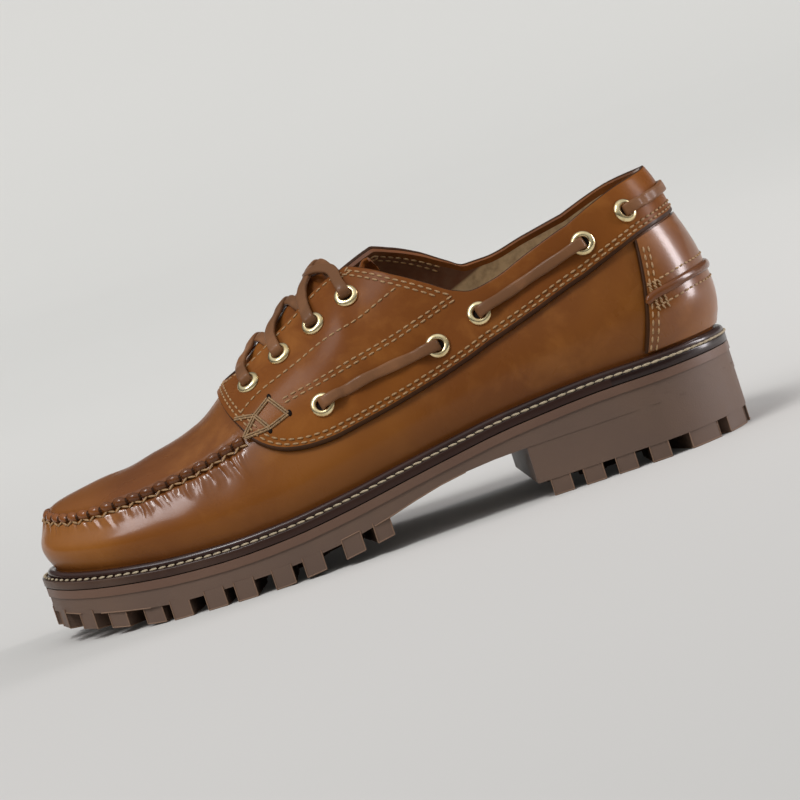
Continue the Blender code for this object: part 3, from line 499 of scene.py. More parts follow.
EDGE_STEPS = np.array([0, 0.18, 0.5, 1.0, 1.6, 2.2, 2.8, 3.4, 4.0, 4.6, 5.2, 6.0, 7.2])
EDGE_DROP, EDGE_REACH = 0.55, 0.9  # how far a cut edge is rounded off, down and in


def rounded(inward):
    """How far down a rounded edge lies, from 1 at the very edge to 0 at one reach inward."""
    return 1 - np.sqrt(np.clip(1 - (1 - inward) ** 2, 0, 1))


def leather_sections(around, low, high, inside, thick, middle, relief, back=7, soft=True):
    """Closed sections of a leather piece between two lines, and the number of points on its outer
    face. soft rounds off its two cut edges."""
    steps = EDGE_STEPS if soft else np.zeros(1)
    around = np.asarray(around, float)[:, None]
    low, high = np.asarray(low, float)[:, None], np.asarray(high, float)[:, None]
    line = SKIN.at(around, low + (high - low) * np.linspace(0, 1, 12)[None])
    length = np.linalg.norm(np.diff(line, axis=1), axis=2).sum(axis=1)[:, None]
    share = steps[None] / np.maximum(length, 1e-6)
    share = share * np.minimum(1, 0.42 / np.maximum(share[:, -1:], 1e-9))
    between = share[:, -1:] + (1 - 2 * share[:, -1:]) * np.linspace(0, 1, middle + 2)[None, 1:-1]
    v = np.concatenate([share, between, 1 - share[:, ::-1]], axis=1)
    drop = soft * EDGE_DROP * rounded(steps / EDGE_REACH) * (steps < EDGE_REACH)
    down = np.concatenate([drop, np.zeros(middle), drop[::-1]])[None]
    up = low + (high - low) * v
    out = inside + thick - np.repeat(down, len(around), axis=0)
    fade = np.clip(v * length / 1.2, 0, 1) * np.clip((1 - v) * length / 1.2, 0, 1) if soft else 1.0
    out = out + relief(around + 0 * up, up) * fade
    outer = SKIN.at(around + 0 * up, up, out)
    back_up = high + (low - high) * np.linspace(0, 1, back)[None]
    inner = SKIN.at(around + 0 * back_up, back_up, np.full(back_up.shape, float(inside)))
    return np.concatenate([outer, inner], axis=1), outer.shape[1]


def columns(parts):
    """Rows of the last in both directions, from (first, last, step) spans of the outer side."""
    rows = np.concatenate([np.arange(a, b - step / 2, step) for a, b, step in parts] + [[parts[-1][1]]])
    return np.concatenate([-rows[:0:-1], rows])


# ---------------------------------------------------------------- materials

class Nodes:
    """Short hands for building one node tree."""

    def __init__(self, tree):
        self.tree = tree

    def add(self, kind, inputs=None, **values):
        node = self.tree.nodes.new(kind)
        for key, value in values.items():
            setattr(node, key, value)
        for label, value in (inputs or {}).items():
            self.put(node.inputs[label], value)
        return node

    def put(self, socket, value):
        if isinstance(value, bpy.types.NodeSocket):
            self.tree.links.new(value, socket)
        else:
            socket.default_value = value

    def place(self):
        return self.add("ShaderNodeTexCoord").outputs["Object"]

    def noise(self, vector, scale, detail=4.0, rough=0.55, distortion=0.0):
        return self.add("ShaderNodeTexNoise", {
            "Vector": vector, "Scale": scale, "Detail": detail, "Roughness": rough,
            "Distortion": distortion}).outputs["Fac"]

    def maths(self, operation, a, b, clamp=False):
        return self.add("ShaderNodeMath", {0: a, 1: b}, operation=operation, use_clamp=clamp).outputs[0]

    def span(self, value, low, high, to_low=0.0, to_high=1.0, smooth=False):
        return self.add("ShaderNodeMapRange", {
            "Value": value, "From Min": low, "From Max": high, "To Min": to_low, "To Max": to_high},
            interpolation_type="SMOOTHSTEP" if smooth else "LINEAR").outputs[0]

    def blend(self, share, a, b):
        node = self.add("ShaderNodeMix", data_type="RGBA")
        for label, value in (("Factor", share), ("A", a), ("B", b)):
            self.put(node.inputs[label], value)
        return node.outputs["Result"]

    def bump(self, height, strength, distance):
        return self.add("ShaderNodeBump", {
            "Height": height, "Strength": strength, "Distance": distance}).outputs["Normal"]

    def read(self, label):
        return self.add("ShaderNodeAttribute", attribute_name=label).outputs["Fac"]

    def split(self, vector):
        return self.add("ShaderNodeSeparateXYZ", {0: vector}).outputs


def surface_group(name, inputs):
    """A shader group with these inputs that puts out a colour, a roughness and a height."""
    group = bpy.data.node_groups.new(name, "ShaderNodeTree")
    for label, value in inputs.items():
        kind = "NodeSocketColor" if isinstance(value, tuple) else "NodeSocketFloat"
        group.interface.new_socket(label, in_out="INPUT", socket_type=kind).default_value = value
    for label, kind in (("Color", "NodeSocketColor"), ("Roughness", "NodeSocketFloat"),
                        ("Height", "NodeSocketFloat")):
        group.interface.new_socket(label, in_out="OUTPUT", socket_type=kind)
    n = Nodes(group)
    return n, n.add("NodeGroupInput").outputs, n.add("NodeGroupOutput").inputs


def leather_group():
    """Polished leather: a drifting tone with fine pores, darker in hollows as painted shade and darker where
    its mesh is marked.
    """
    n, into, out = surface_group("polished_leather", {
        "Tone": (0.4, 0.16, 0.05, 1), "Shade": (0.2, 0.07, 0.03, 1), "Light": (0.5, 0.25, 0.1, 1),
        "Darkening": 0.0, "Gloss": 0.3, "Pore Scale": 900.0})
    where = n.place()
    broad = n.noise(where, 14.0, 3.0, 0.5)
    mottle = n.noise(where, 70.0, 5.0, 0.6, 0.4)
    drift = n.blend(n.span(broad, 0.38, 0.66, smooth=True), into["Shade"], into["Tone"])
    colour = n.blend(0.72, into["Tone"], drift)
    colour = n.blend(n.span(mottle, 0.5, 0.8, 0.0, 0.42), colour, into["Light"])
    # Painted shade: the colour runs to the shade tone in hollows, read from the mesh's pointiness.
    hollow_shade = n.span(n.add("ShaderNodeNewGeometry").outputs["Pointiness"], 0.47, 0.495, 0.75, 0.0)
    n.put(out["Color"], n.blend(n.maths("MAXIMUM", hollow_shade, into["Darkening"], clamp=True), colour, into["Shade"]))
    smear = n.noise(where, 38.0, 4.0, 0.6, 0.8)
    n.put(out["Roughness"], n.maths("ADD", into["Gloss"], n.span(smear, 0.35, 0.75, -0.05, 0.12), clamp=True))
    pores = n.add("ShaderNodeTexVoronoi", {"Vector": where, "Scale": into["Pore Scale"]}).outputs["Distance"]
    fine = n.noise(where, 420.0, 6.0, 0.65)
    wrinkle = n.noise(where, 190.0, 4.0, 0.6, 1.2)
    height = n.maths("ADD", n.maths("MULTIPLY", pores, 0.22), n.maths("MULTIPLY", fine, 0.5))
    n.put(out["Height"], n.maths("ADD", height, n.maths("MULTIPLY", wrinkle, 0.6)))


def rubber_group():
    """Moulded rubber: a dusty tone with a fine tooth."""
    n, into, out = surface_group("moulded_rubber", {
        "Tone": (0.15, 0.09, 0.07, 1), "Dust": (0.3, 0.22, 0.18, 1), "Gloss": 0.6})
    where = n.place()
    cloud = n.noise(where, 26.0, 5.0, 0.62, 0.3)
    speck = n.noise(where, 1400.0, 3.0, 0.6)
    colour = n.blend(n.span(cloud, 0.4, 0.75, 0.0, 0.3), into["Tone"], into["Dust"])
    n.put(out["Color"], n.blend(n.span(speck, 0.6, 0.8, 0.0, 0.25), colour, into["Dust"]))
    n.put(out["Roughness"], n.maths("ADD", into["Gloss"], n.span(cloud, 0.3, 0.7, -0.06, 0.1), clamp=True))
    n.put(out["Height"], n.maths("ADD", speck, n.maths("MULTIPLY", cloud, 0.6)))


def new_material(name):
    made = bpy.data.materials.new(name)
    made.use_nodes = True
    return made, Nodes(made.node_tree), made.node_tree.nodes["Principled BSDF"].inputs


def toned(colour, *shares):
    """A colour with its channels scaled by one share, or by one each."""
    shares = shares * 3 if len(shares) == 1 else shares
    return tuple(min(1, channel * share) for channel, share in zip(colour, shares))


def opaque(colour):
    return (*colour, 1)


def group_look(name, group, bump, depth, **values):
    """A material whose colour, roughness and relief come from one of the groups."""
    look, n, shader = new_material(name)
    skin = n.add("ShaderNodeGroup", node_tree=bpy.data.node_groups[group])
    for label, value in values.items():
        value = value if isinstance(value, float) else opaque(value)
        skin.inputs[label.replace("_", " ")].default_value = value
    n.put(shader["Base Color"], skin.outputs["Color"])
    n.put(shader["Roughness"], skin.outputs["Roughness"])
    n.put(shader["Normal"], n.bump(skin.outputs["Height"], bump, depth))
    return look, n, shader, skin


def leather_look(name, tone, shade, light, gloss=0.3, pores=900.0, coat=0.08, bump=0.1, shine=0.14):
    """One leather. It shines more where its mesh is marked polish and is darker where it is marked shade, a
    mark that on the upper holds painted shade in part.
    """
    look, n, shader, skin = group_look(name, "polished_leather", bump, 0.0004, Tone=tone, Shade=shade,
                                       Light=light, Gloss=gloss, Pore_Scale=pores)
    n.put(skin.inputs["Darkening"], n.read("shade"))
    n.put(shader["Coat Weight"], n.span(n.read("polish"), 0.0, 1.0, coat, 0.8))
    shader["Coat Roughness"].default_value = 0.16
    shader["Specular IOR Level"].default_value = shine
    return look


def rubber_look(name, tone, dust, gloss=0.55, bump=0.2):
    return group_look(name, "moulded_rubber", bump, 0.0003, Tone=tone, Dust=dust, Gloss=gloss)[0]


def plain_look(name, grain_scale, grain_values, colour_of, colour_span, rough_span, bump, depth=0.0002):
    """A material with one grain that leads its colour, from colour_of(n), its roughness and its relief."""
    look, n, shader = new_material(name)
    grain = n.noise(n.place(), grain_scale, *grain_values)
    n.put(shader["Base Color"], n.blend(n.span(grain, *colour_span), *colour_of(n)))
    n.put(shader["Roughness"], n.span(grain, *rough_span))
    n.put(shader["Normal"], n.bump(grain, bump, depth))
    return look, shader


def thread_look(name, tone, shade):
    """Waxed thread: two tones along its twist."""
    return plain_look(name, 1500.0, (3.0, 0.6, 0.5), lambda n: (opaque(shade), opaque(tone)), (0.35, 0.65),
                      (0.3, 0.7, 0.5, 0.75), 0.4)[0]


LINING_JOIN = 0.18  # where the brown lining of the throat meets the pale one of the heel; the throat's dark brown is in part painted shade


def lining_look():
    """Lining leather: brown towards the throat, darkened in part as painted shade of the shoe's inside, and
    olive beige round the heel.
    """
    def tones(n):
        along = n.split(n.place())
        slope = n.maths("ADD", n.maths("MULTIPLY", along["Z"], 2.6), along["X"])
        share = n.span(slope, LINING_JOIN, LINING_JOIN + 0.004, smooth=True)
        # The dark brown is the leather's own brown, made darker as painted shade of the inside.
        return n.blend(share, (0.6, 0.44, 0.25, 1), (0.14, 0.05, 0.022, 1)), (0.2, 0.11, 0.06, 1)

    return plain_look("lining_leather", 300.0, (5.0, 0.6), tones, (0.4, 0.7, 0, 0.5), (0.3, 0.7, 0.5, 0.7),
                      0.25, 0.0003)[0]


def brass_look():
    look, shader = plain_look("pale_brass", 260.0, (4.0, 0.6),
                              lambda n: ((0.86, 0.72, 0.42, 1), (0.55, 0.38, 0.16, 1)), (0.45, 0.75),
                              (0.35, 0.7, 0.16, 0.38), 0.15)
    shader["Metallic"].default_value = 1.0
    return look


def make_looks(tones):
    """Fill LOOKS from the colours that the user sets."""
    leather_group()
    rubber_group()
    tan, dark, pale = tones.leather, tones.leather_shade, tones.leather_light
    rubber, dust, welt = tones.rubber, tones.rubber_dust, tones.welt
    LOOKS.update({
        "upper": leather_look("tan_leather", tan, dark, pale),
        "saddle": leather_look("saddle_leather", toned(tan, 0.93, 0.88, 0.95), dark, pale, coat=0.03,
                               shine=0.04),
        "counter": leather_look("counter_leather", tan, dark, pale, coat=0.55),
        "lip": leather_look("seam_leather", toned(tan, 0.8, 0.7, 0.8), toned(dark, 0.55), tan, gloss=0.24,
                            coat=0.5, bump=0.08),
        # Dark cut edges. The same look darkens the slits of the seam's lip and widens the saddle's lower edge
        # into a line, both painted shade.
        "edge": leather_look("cut_edge_and_painted_shade", toned(tan, 0.16), toned(dark, 0.25), toned(tan, 0.3), gloss=0.5),
        "lining": lining_look(),
        "lace": leather_look("rawhide_lace", tones.lace, toned(tones.lace, 0.5), toned(tones.lace, 1.5),
                             gloss=0.42, coat=0.12, pores=1500.0, shine=0.08),
        "welt": leather_look("dark_welt", welt, toned(welt, 0.5), toned(welt, 1.8), gloss=0.32, coat=0.5),
        "welt_side": leather_look("welt_side", toned(rubber, 0.85), toned(welt, 0.85), rubber, gloss=0.4,
                                  coat=0.2),
        "rubber": rubber_look("brown_rubber", rubber, dust),
        "midsole": rubber_look("glossy_rubber", toned(rubber, 1.08, 0.92, 0.84), dust, gloss=0.4, bump=0.08),
        "worn": rubber_look("worn_rubber", dust, toned(dust, 1.6), gloss=0.6),
        "brass": brass_look(),
        "thread": thread_look("gold_thread", tones.thread, toned(tones.thread, 0.55)),
        "box_thread": thread_look("dark_gold_thread", toned(tones.thread, 0.85), toned(tones.thread, 0.35)),
        "welt_thread": thread_look("cream_thread", tones.welt_thread, toned(tones.welt_thread, 0.6)),
        # A near black leather for holes: painted shade where a hole would show.
        "hole_shade": leather_look("painted_hole_shade", (0.012, 0.006, 0.004), (0.006, 0.003, 0.002),
                             (0.02, 0.01, 0.006), gloss=0.8, coat=0.0),
    })


# ---------------------------------------------------------------- repeated pieces

def input_key(tree, label):
    return next(item.identifier for item in tree.interface.items_tree
                if item.item_type == "SOCKET" and item.in_out == "INPUT" and item.name == label)


def scatter_tree(name, look, template, sizes):
    """Geometry Nodes that set one bead, or a copy of a template, on every point, turned by the
    point's own ahead and facing directions."""
    tree = bpy.data.node_groups.new(name, "GeometryNodeTree")
    tree.interface.new_socket("Geometry", in_out="INPUT", socket_type="NodeSocketGeometry")
    for label, value in sizes.items():
        made = tree.interface.new_socket(label, in_out="INPUT", socket_type="NodeSocketFloat")
        made.default_value = value
    tree.interface.new_socket("Geometry", in_out="OUTPUT", socket_type="NodeSocketGeometry")
    n = Nodes(tree)
    into, out = n.add("NodeGroupInput").outputs, n.add("NodeGroupOutput").inputs
    turn = n.add("FunctionNodeAxesToRotation", primary_axis="Z", secondary_axis="X")
    for socket, label in enumerate(("facing", "ahead")):
        read = n.add("GeometryNodeInputNamedAttribute", {"Name": label}, data_type="FLOAT_VECTOR")
        n.put(turn.inputs[socket], read.outputs["Attribute"])
    if template is None:
        ball = n.add("GeometryNodeMeshUVSphere", {"Segments": 8, "Rings": 5, "Radius": 0.5})
        turned = n.add("GeometryNodeTransform", {
            "Geometry": ball.outputs["Mesh"], "Rotation": (0, math.pi / 2, 0)})
        height = n.maths("MULTIPLY", into["Thickness"], 0.8)
        size = {"X": into["Length"], "Y": into["Thickness"], "Z": height}
        source = turned.outputs["Geometry"]
    else:
        size = dict.fromkeys("XYZ", into["Size"])
        source = n.add("GeometryNodeObjectInfo", {"Object": template}).outputs["Geometry"]
    scale = n.add("ShaderNodeCombineXYZ", size).outputs[0]
    source = n.add("GeometryNodeTransform", {"Geometry": source, "Scale": scale}).outputs["Geometry"]
    if template is None:
        source = n.add("GeometryNodeSetShadeSmooth", {"Geometry": source}).outputs["Geometry"]
    copies = n.add("GeometryNodeInstanceOnPoints", {
        "Points": into["Geometry"], "Instance": source, "Rotation": turn.outputs["Rotation"]})
    real = n.add("GeometryNodeRealizeInstances", {"Geometry": copies.outputs["Instances"]})
    paint = n.add("GeometryNodeSetMaterial", {"Geometry": real.outputs["Geometry"], "Material": LOOKS[look]})
    n.put(out["Geometry"], paint.outputs["Geometry"])
    return tree


def scatter(name, look, spots, template=None, **sizes):
    """One plain mesh of beads, or of copies of a template, on every spot. spots holds points,
    directions ahead and facings. sizes are in metres, or for a template its Size as a share."""
    points, ahead, facing = (np.concatenate([spot[i] for spot in spots]) for i in range(3))
    mesh = bpy.data.meshes.new(name)
    mesh.from_pydata(place(points).tolist(), [], [])
    for label, values in (("ahead", ahead), ("facing", facing)):
        mesh.attributes.new(label, "FLOAT_VECTOR", "POINT").data.foreach_set("vector", values.ravel())
    made = linked(name, mesh)
    nodes = made.modifiers.new("copies", "NODES")
    nodes.node_group = scatter_tree(f"{name}_copies", look, template, sizes)
    for label, value in sizes.items():
        nodes[input_key(nodes.node_group, label)] = value
    bpy.context.view_layer.update()
    ready = made.evaluated_get(bpy.context.evaluated_depsgraph_get())
    plain = bpy.data.meshes.new_from_object(ready)
    made.modifiers.remove(nodes)
    made.data = plain
    return made


def lathe(profile, steps):
    """Points and faces of a closed profile (radius, height) turned about Z."""
    turn = np.linspace(0, 2 * np.pi, steps, endpoint=False)[:, None]
    radius, height = np.array(profile, float).T[:, None]
    shape = np.stack([radius * np.cos(turn), radius * np.sin(turn), height + 0 * turn], axis=2)
    return weave(shape, ring=True)[:2]


def scatter_turned(name, look, frames, profile, steps=32, stretch=1.0):
    """A copy of one turned profile, stretched along X, on every frame (point, facing, ahead)."""
    points, faces = lathe(profile, steps)
    points[:, 0] *= stretch
    template = object_from(f"{name}_template", points + ORIGIN, faces, [look], sharp=60)
    points, facing, ahead = (np.array([item[i] for item in frames]) for i in range(3))
    made = scatter(name, look, [(points, ahead, facing)], template, Size=1.0)
    bpy.data.objects.remove(template)
    return made


def shifted(line, distance):
    """A line of (around, up) moved sideways over the surface, to the left as it runs."""
    around, up = (np.array(values, float) for values in line)
    along = np.gradient(SKIN.at(around, up), axis=0)
    aside = np.cross(SKIN.facing(around, up), along)
    aside *= distance / np.linalg.norm(aside, axis=1)[:, None]
    by_around = (SKIN.at(around + 0.02, up) - SKIN.at(around - 0.02, up)) / 0.04
    by_up = (SKIN.at(around, up + 0.008) - SKIN.at(around, up - 0.008)) / 0.016
    for i in range(len(around)):
        base = np.stack([by_around[i], by_up[i]], axis=1)
        step = np.linalg.lstsq(base, aside[i], rcond=None)[0]
        around[i] += step[0]
        up[i] += step[1]
    return around, up


def dense(knots, count=200):
    """A line of (around, up) through a few knots, smooth and evenly spaced."""
    knots = np.asarray(knots, float)
    if len(knots) == 2:
        return tuple(np.linspace(*knots, count).T)
    return tuple((natural_spline(knots * (1, 8), count) / (1, 8)).T)


def counter_line(share):
    """The heel counter's front edge: row of the last at shares of its height."""
    heights, rows = zip(*COUNTER_EDGE)
    return np.interp(share, heights, rows)


def counter_puff(around, up):
    """How far the heel counter swells out, above and below its rib."""
    rib, top = smooth_table(RIB_LINE, np.abs(around)), lows(around)
    share = (up - COUNTER_FOOT) / (top - COUNTER_GAP)
    inward = np.minimum((counter_line(share) - np.abs(around)) * 44, np.minimum(share, 1 - share) * 36)
    puff = np.where(up < rib, 0.9 * np.sin(np.pi * np.clip(up / rib, 0, 1)),
                    0.5 * np.sin(np.pi * np.clip((up - rib) / (top - rib), 0, 1)))
    return puff * np.clip(inward / 4, 0, 1)


def spaced(points, pitch):
    """Places spaced along a path: their lengths, the path's own lengths, and their points and
    directions."""
    length = path_length(points)
    count = max(2, int(round(length[-1] / pitch)))
    at = (np.arange(count) + 0.5) * length[-1] / count
    ahead = read_along(at, length, np.gradient(points, length, axis=0))
    return at, length, read_along(at, length, points), ahead


def stitched(line, pitch, out, tilt=0.0):
    """Stitches spaced along a line of (around, up): their points, directions and facings."""
    around, up = line
    at, length, spots, ahead = spaced(SKIN.at(around, up, out + np.zeros(len(around))), pitch)
    facing = SKIN.facing(np.interp(at, length, around), np.interp(at, length, up))
    ahead = unit(ahead - facing * (ahead * facing).sum(axis=1)[:, None])
    return spots, ahead * math.cos(tilt) + np.cross(facing, ahead) * math.sin(tilt), facing


def swept(path, facing, profile):
    """Closed sections along a path. Each point of the profile is (across, outwards) in
    millimetres, one row for every point of the path."""
    along = unit(np.gradient(path, axis=0))
    side = unit(np.cross(along, facing))
    face = np.cross(side, along)
    return path[:, None] + side[:, None] * profile[..., :1] + face[:, None] * profile[..., 1:]


def tube(path, radius, sides, facing):
    """Closed sections of a round thread along a path of points."""
    turn = np.linspace(0, 2 * np.pi, sides, endpoint=False)
    return swept(path, facing, radius * np.stack([np.cos(turn), np.sin(turn)], axis=1)[None])


# ---------------------------------------------------------------- lines of the upper

SEAM_ROWS = np.arange(7.1, TOE_ROW + 0.001, 0.01)
SEAM_RUN = path_length(SKIN.at(SEAM_ROWS, seam_up(SEAM_ROWS)))
SEAM_BEADS = 18  # from the saddle to the middle of the toe
BEAD = SEAM_RUN[-1] / SEAM_BEADS
UP_TO_MM = 95.0  # roughly, near the seam
ROW_SINGLE = [(7.06, 0.541), (6.72, 0.58), (6.24, 0.588), (5.62, 0.586), (4.99, 0.575), (4.43, 0.592),
              (4.0, 0.61)]
ROW_DOUBLE = [(6.38, 0.471), (5.96, 0.458), (5.37, 0.437), (4.69, 0.435), (4.15, 0.442), (3.7, 0.457),
              (3.27, 0.474)]


def seam_run(around):
    """Millimetres along the moccasin seam from the saddle, the same on both sides."""
    return np.interp(np.abs(around), SEAM_ROWS, SEAM_RUN)


def vamp_relief(around, up):
    """Gathers below the seam, the dip beside its lip, and soft waves in the leather."""
    row = np.abs(around)
    below = (seam_up(row) - up) * UP_TO_MM
    run = seam_run(row)
    near = np.exp(-(run / 34) ** 2)
    side = np.sign(around)
    count = (run + below * 0.18 + 0.5 * np.sin(below * 0.45 + run * 0.21 * side)) / BEAD
    vary = 0.72 + 0.28 * np.sin(np.round(count) * 2.4 + 1.0 + 0.7 * side)
    size = (0.95 + 0.6 * near) * vary * (1 - 0.5 * ease(row, 10.3, 11.5))
    reach = 10.5 + 5.0 * near + 2.5 * np.sin(np.round(count) * 1.7 + side)
    band = ease(below, 0.6, 2.4) * (1 - ease(below, 4.5, reach + 3))
    pleat = np.abs(np.cos(np.pi * count)) ** 0.8 - 0.62
    fine = np.sin(2 * np.pi * count * 2.3 + 1.5 * np.sin(run * 0.13)) * 0.2 * band * (0.4 + near)
    folds = 0.5 * near * np.sin(run * 0.26 + 0.9) * ease(below, 3, 9) * (1 - ease(below, 12, 26))
    dip = -0.8 * np.exp(-((below - 2.9) / 1.2) ** 2) - 0.6 * np.exp(-((below + 3.2) / 1.2) ** 2)
    above = 0.16 * pleat * ease(-below, 2.0, 3.2) * (1 - ease(-below, 3.5, 7.5))
    waves = 0.16 * np.sin(row * 2.3 + up * 7) * np.sin(up * 9 + row * 1.1) * ease(up, 0.04, 0.2)
    here = ease(row, 7.1, 7.3)
    return (size * band * pleat + fine + folds + dip + above) * here + waves * (1 - 0.6 * here)


def lower_line():
    """The saddle's lower edge from the back of the heel to the bridge before the throat."""
    row = np.concatenate([np.linspace(0, 7, 260), np.linspace(7.01, 7.375, 60)])
    return row, lows(row)


def rim_line(first, last, side):
    """The rim of the leather on one side, from row to row."""
    row = np.linspace(first, last, 160)
    return row, rims(row * side)


# ---------------------------------------------------------------- settings

COLOUR = {"size": 3, "subtype": "COLOR", "min": 0, "max": 1}
LENGTH = {"subtype": "DISTANCE", "unit": "LENGTH"}


class MoccasinColours(bpy.types.PropertyGroup):
    """Colours of the finishes, as linear red, green and blue"""
    leather: bpy.props.FloatVectorProperty(
        name="Leather", description="Polished tan leather", default=(0.28, 0.1, 0.017), **COLOUR)
    leather_shade: bpy.props.FloatVectorProperty(
        name="Leather Shade", description="The leather's darker, redder tone", default=(0.15, 0.045, 0.011),
        **COLOUR)
    leather_light: bpy.props.FloatVectorProperty(
        name="Leather Light", description="The leather's paler tone", default=(0.38, 0.15, 0.035), **COLOUR)
    lace: bpy.props.FloatVectorProperty(
        name="Lace", description="Brown rawhide", default=(0.25, 0.113, 0.05), **COLOUR)
    welt: bpy.props.FloatVectorProperty(
        name="Welt", description="Waxed dark welt", default=(0.035, 0.014, 0.01), **COLOUR)
    rubber: bpy.props.FloatVectorProperty(
        name="Rubber", description="Brown sole rubber", default=(0.13, 0.08, 0.056), **COLOUR)
    rubber_dust: bpy.props.FloatVectorProperty(
        name="Rubber Dust", description="Paler, redder tone of worn rubber", default=(0.2, 0.118, 0.073),
        **COLOUR)
    thread: bpy.props.FloatVectorProperty(
        name="Thread", description="Pale gold thread", default=(0.47, 0.28, 0.125), **COLOUR)
    welt_thread: bpy.props.FloatVectorProperty(
        name="Welt Thread", description="Cream thread of the welt", default=(0.55, 0.45, 0.3), **COLOUR)
    backdrop: bpy.props.FloatVectorProperty(
        name="Backdrop", description="Pale floor and wall", default=(0.6, 0.59, 0.565), **COLOUR)


class MoccasinSizes(bpy.types.PropertyGroup):
    """Sizes of the stitching, in metres"""
    stitch: bpy.props.FloatProperty(
        name="Stitch", description="Length of one machine stitch", default=0.0027, min=0.0005, max=0.01,
        **LENGTH)
    stitch_pitch: bpy.props.FloatProperty(
        name="Stitch Pitch", description="Distance from stitch to stitch", default=0.00355, min=0.001,
        max=0.02, **LENGTH)
    thread: bpy.props.FloatProperty(
        name="Thread", description="Thickness of the machine thread", default=0.00095, min=0.0001,
        max=0.003, **LENGTH)
    welt_pitch: bpy.props.FloatProperty(
        name="Welt Pitch", description="Distance from stitch to stitch on the welt", default=0.0041,
        min=0.001, max=0.02, **LENGTH)
    welt_thread: bpy.props.FloatProperty(
        name="Welt Thread", description="Thickness of the welt's thread", default=0.0014, min=0.0002,
        max=0.004, **LENGTH)
    hand_thread: bpy.props.FloatProperty(
        name="Hand Thread", description="Thickness of the hand-sewn thread", default=0.001, min=0.0002,
        max=0.004, **LENGTH)


def colours():
    return bpy.context.scene.moccasin_colours


def sizes():
    return bpy.context.scene.moccasin_sizes


def dress(piece, slot, *nodes):
    """Let a piece ride the root body in place of these nodes of the frame. The slot is not used."""
    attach(piece, "root")
    if nodes:
        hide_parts(*nodes)


# ---------------------------------------------------------------- pieces

class MOCCASIN_OT_stage(bpy.types.Operator):
    """Set the pale floor, the soft light and the camera"""
    bl_idname = "moccasin.stage"
    bl_label = "Stage"

    def execute(self, context):
        make_looks(colours())
        self.floor()
        self.lights()
        self.camera(context)
        return {"FINISHED"}

    def floor(self):
        """A floor that rises into a wall far behind, in one sheet."""
        profile = [(-0.95, 0.0), (3.0, 0.0), (5.0, 0.15), (6.0, 0.6), (6.4, 1.0), (6.6, 1.4)]
        rows = np.concatenate([profile[:1], natural_spline(profile[1:], 40)])
        mesh = bpy.data.meshes.new("floor")
        points = [(x, -y, z) for y, z in rows for x in (-9.0, 9.0)]
        faces = [(2 * i, 2 * i + 1, 2 * i + 3, 2 * i + 2) for i in range(len(rows) - 1)]
        mesh.from_pydata(points, [], faces)
        mesh.shade_smooth()
        look, n, shader = new_material("pale_backdrop")
        where = n.place()
        cloud = n.noise(where, 1.1, 2.0, 0.5)
        tone = opaque(colours().backdrop)
        faint = opaque(toned(tone[:3], 0.985))
        n.put(shader["Base Color"], n.blend(n.span(cloud, 0.3, 0.7), faint, tone))
        shader["Roughness"].default_value = 0.9
        far = n.span(n.split(where)["Y"], 0.25, -1.3, smooth=True)
        n.put(shader["Emission Color"], n.blend(far, (0.0, 0.0, 0.0, 1), tone))
        shader["Emission Strength"].default_value = 0.27
        mesh.materials.append(look)
        linked("floor", mesh)

    def lights(self):
        """A room that is bright overhead and dim at eye level, with one sun and soft windows."""
        world = bpy.data.worlds.new("soft_room")
        world.use_nodes = True
        n = Nodes(world.node_tree)
        background = world.node_tree.nodes["Background"].inputs
        along = n.split(n.add("ShaderNodeTexCoord").outputs["Generated"])
        background["Color"].default_value = (0.96, 0.98, 1.0, 1)
        behind = n.span(along["Y"], -0.85, 0.15, 0.25, 1.0)
        overhead = n.span(along["Z"], 0.1, 0.9, 0.05, 0.88)
        n.put(background["Strength"], n.maths("MULTIPLY", behind, overhead))
        bpy.context.scene.world = world
        sun = bpy.data.lights.new("daylight", "SUN")
        sun.energy = 1.2
        sun.angle = math.radians(17)
        linked("daylight", sun).rotation_euler = Vector((0.3, 0.4, 0.86)).to_track_quat("Z", "Y").to_euler()
        lamps = [("window", (0.8, 0.66, 0.86), (0.4, 0.3), 3, (1.0, 0.95, 0.97)),
                 ("heel_window", (-1.28, -0.22, 0.38), (0.2, 0.74), 9, (1.0, 0.94, 0.97))]
        for name, at, size, power, tint in lamps:
            lamp = bpy.data.lights.new(name, "AREA")
            lamp.shape = "RECTANGLE"
            lamp.size, lamp.size_y = size
            lamp.energy = power
            lamp.color = tint
            made = linked(name, lamp)
            made.location = at
            made.rotation_euler = (Vector((0, 0, 0.06)) - Vector(at)).to_track_quat("-Z", "Y").to_euler()
        bpy.context.scene.view_settings.view_transform = "Standard"

    def camera(self, context):
        """The view of the outer side, rolled so that the heel stands higher in the frame."""
        azimuth, elevation, roll = (math.radians(angle) for angle in (182.0, 5.1, -18.2))
        distance, aim = 1.786, Vector((-0.013, 0.0, 0.0534))
        ahead = Vector((-math.sin(azimuth) * math.cos(elevation), math.cos(azimuth) * math.cos(elevation),
                        -math.sin(elevation)))
        right = ahead.cross(Vector((0, 0, 1))).normalized()
        up = right.cross(ahead)
        level_right = right * math.cos(roll) + up * math.sin(roll)
        level_up = up * math.cos(roll) - right * math.sin(roll)
        turn = Matrix((level_right, level_up, -ahead)).transposed().to_4x4()
        lens = bpy.data.cameras.new("view")
        lens.sensor_width = 36
        lens.lens = 191.9
        camera = linked("view", lens)
        camera.matrix_world = Matrix.Translation(aim - ahead * distance) @ turn
        context.scene.camera = camera


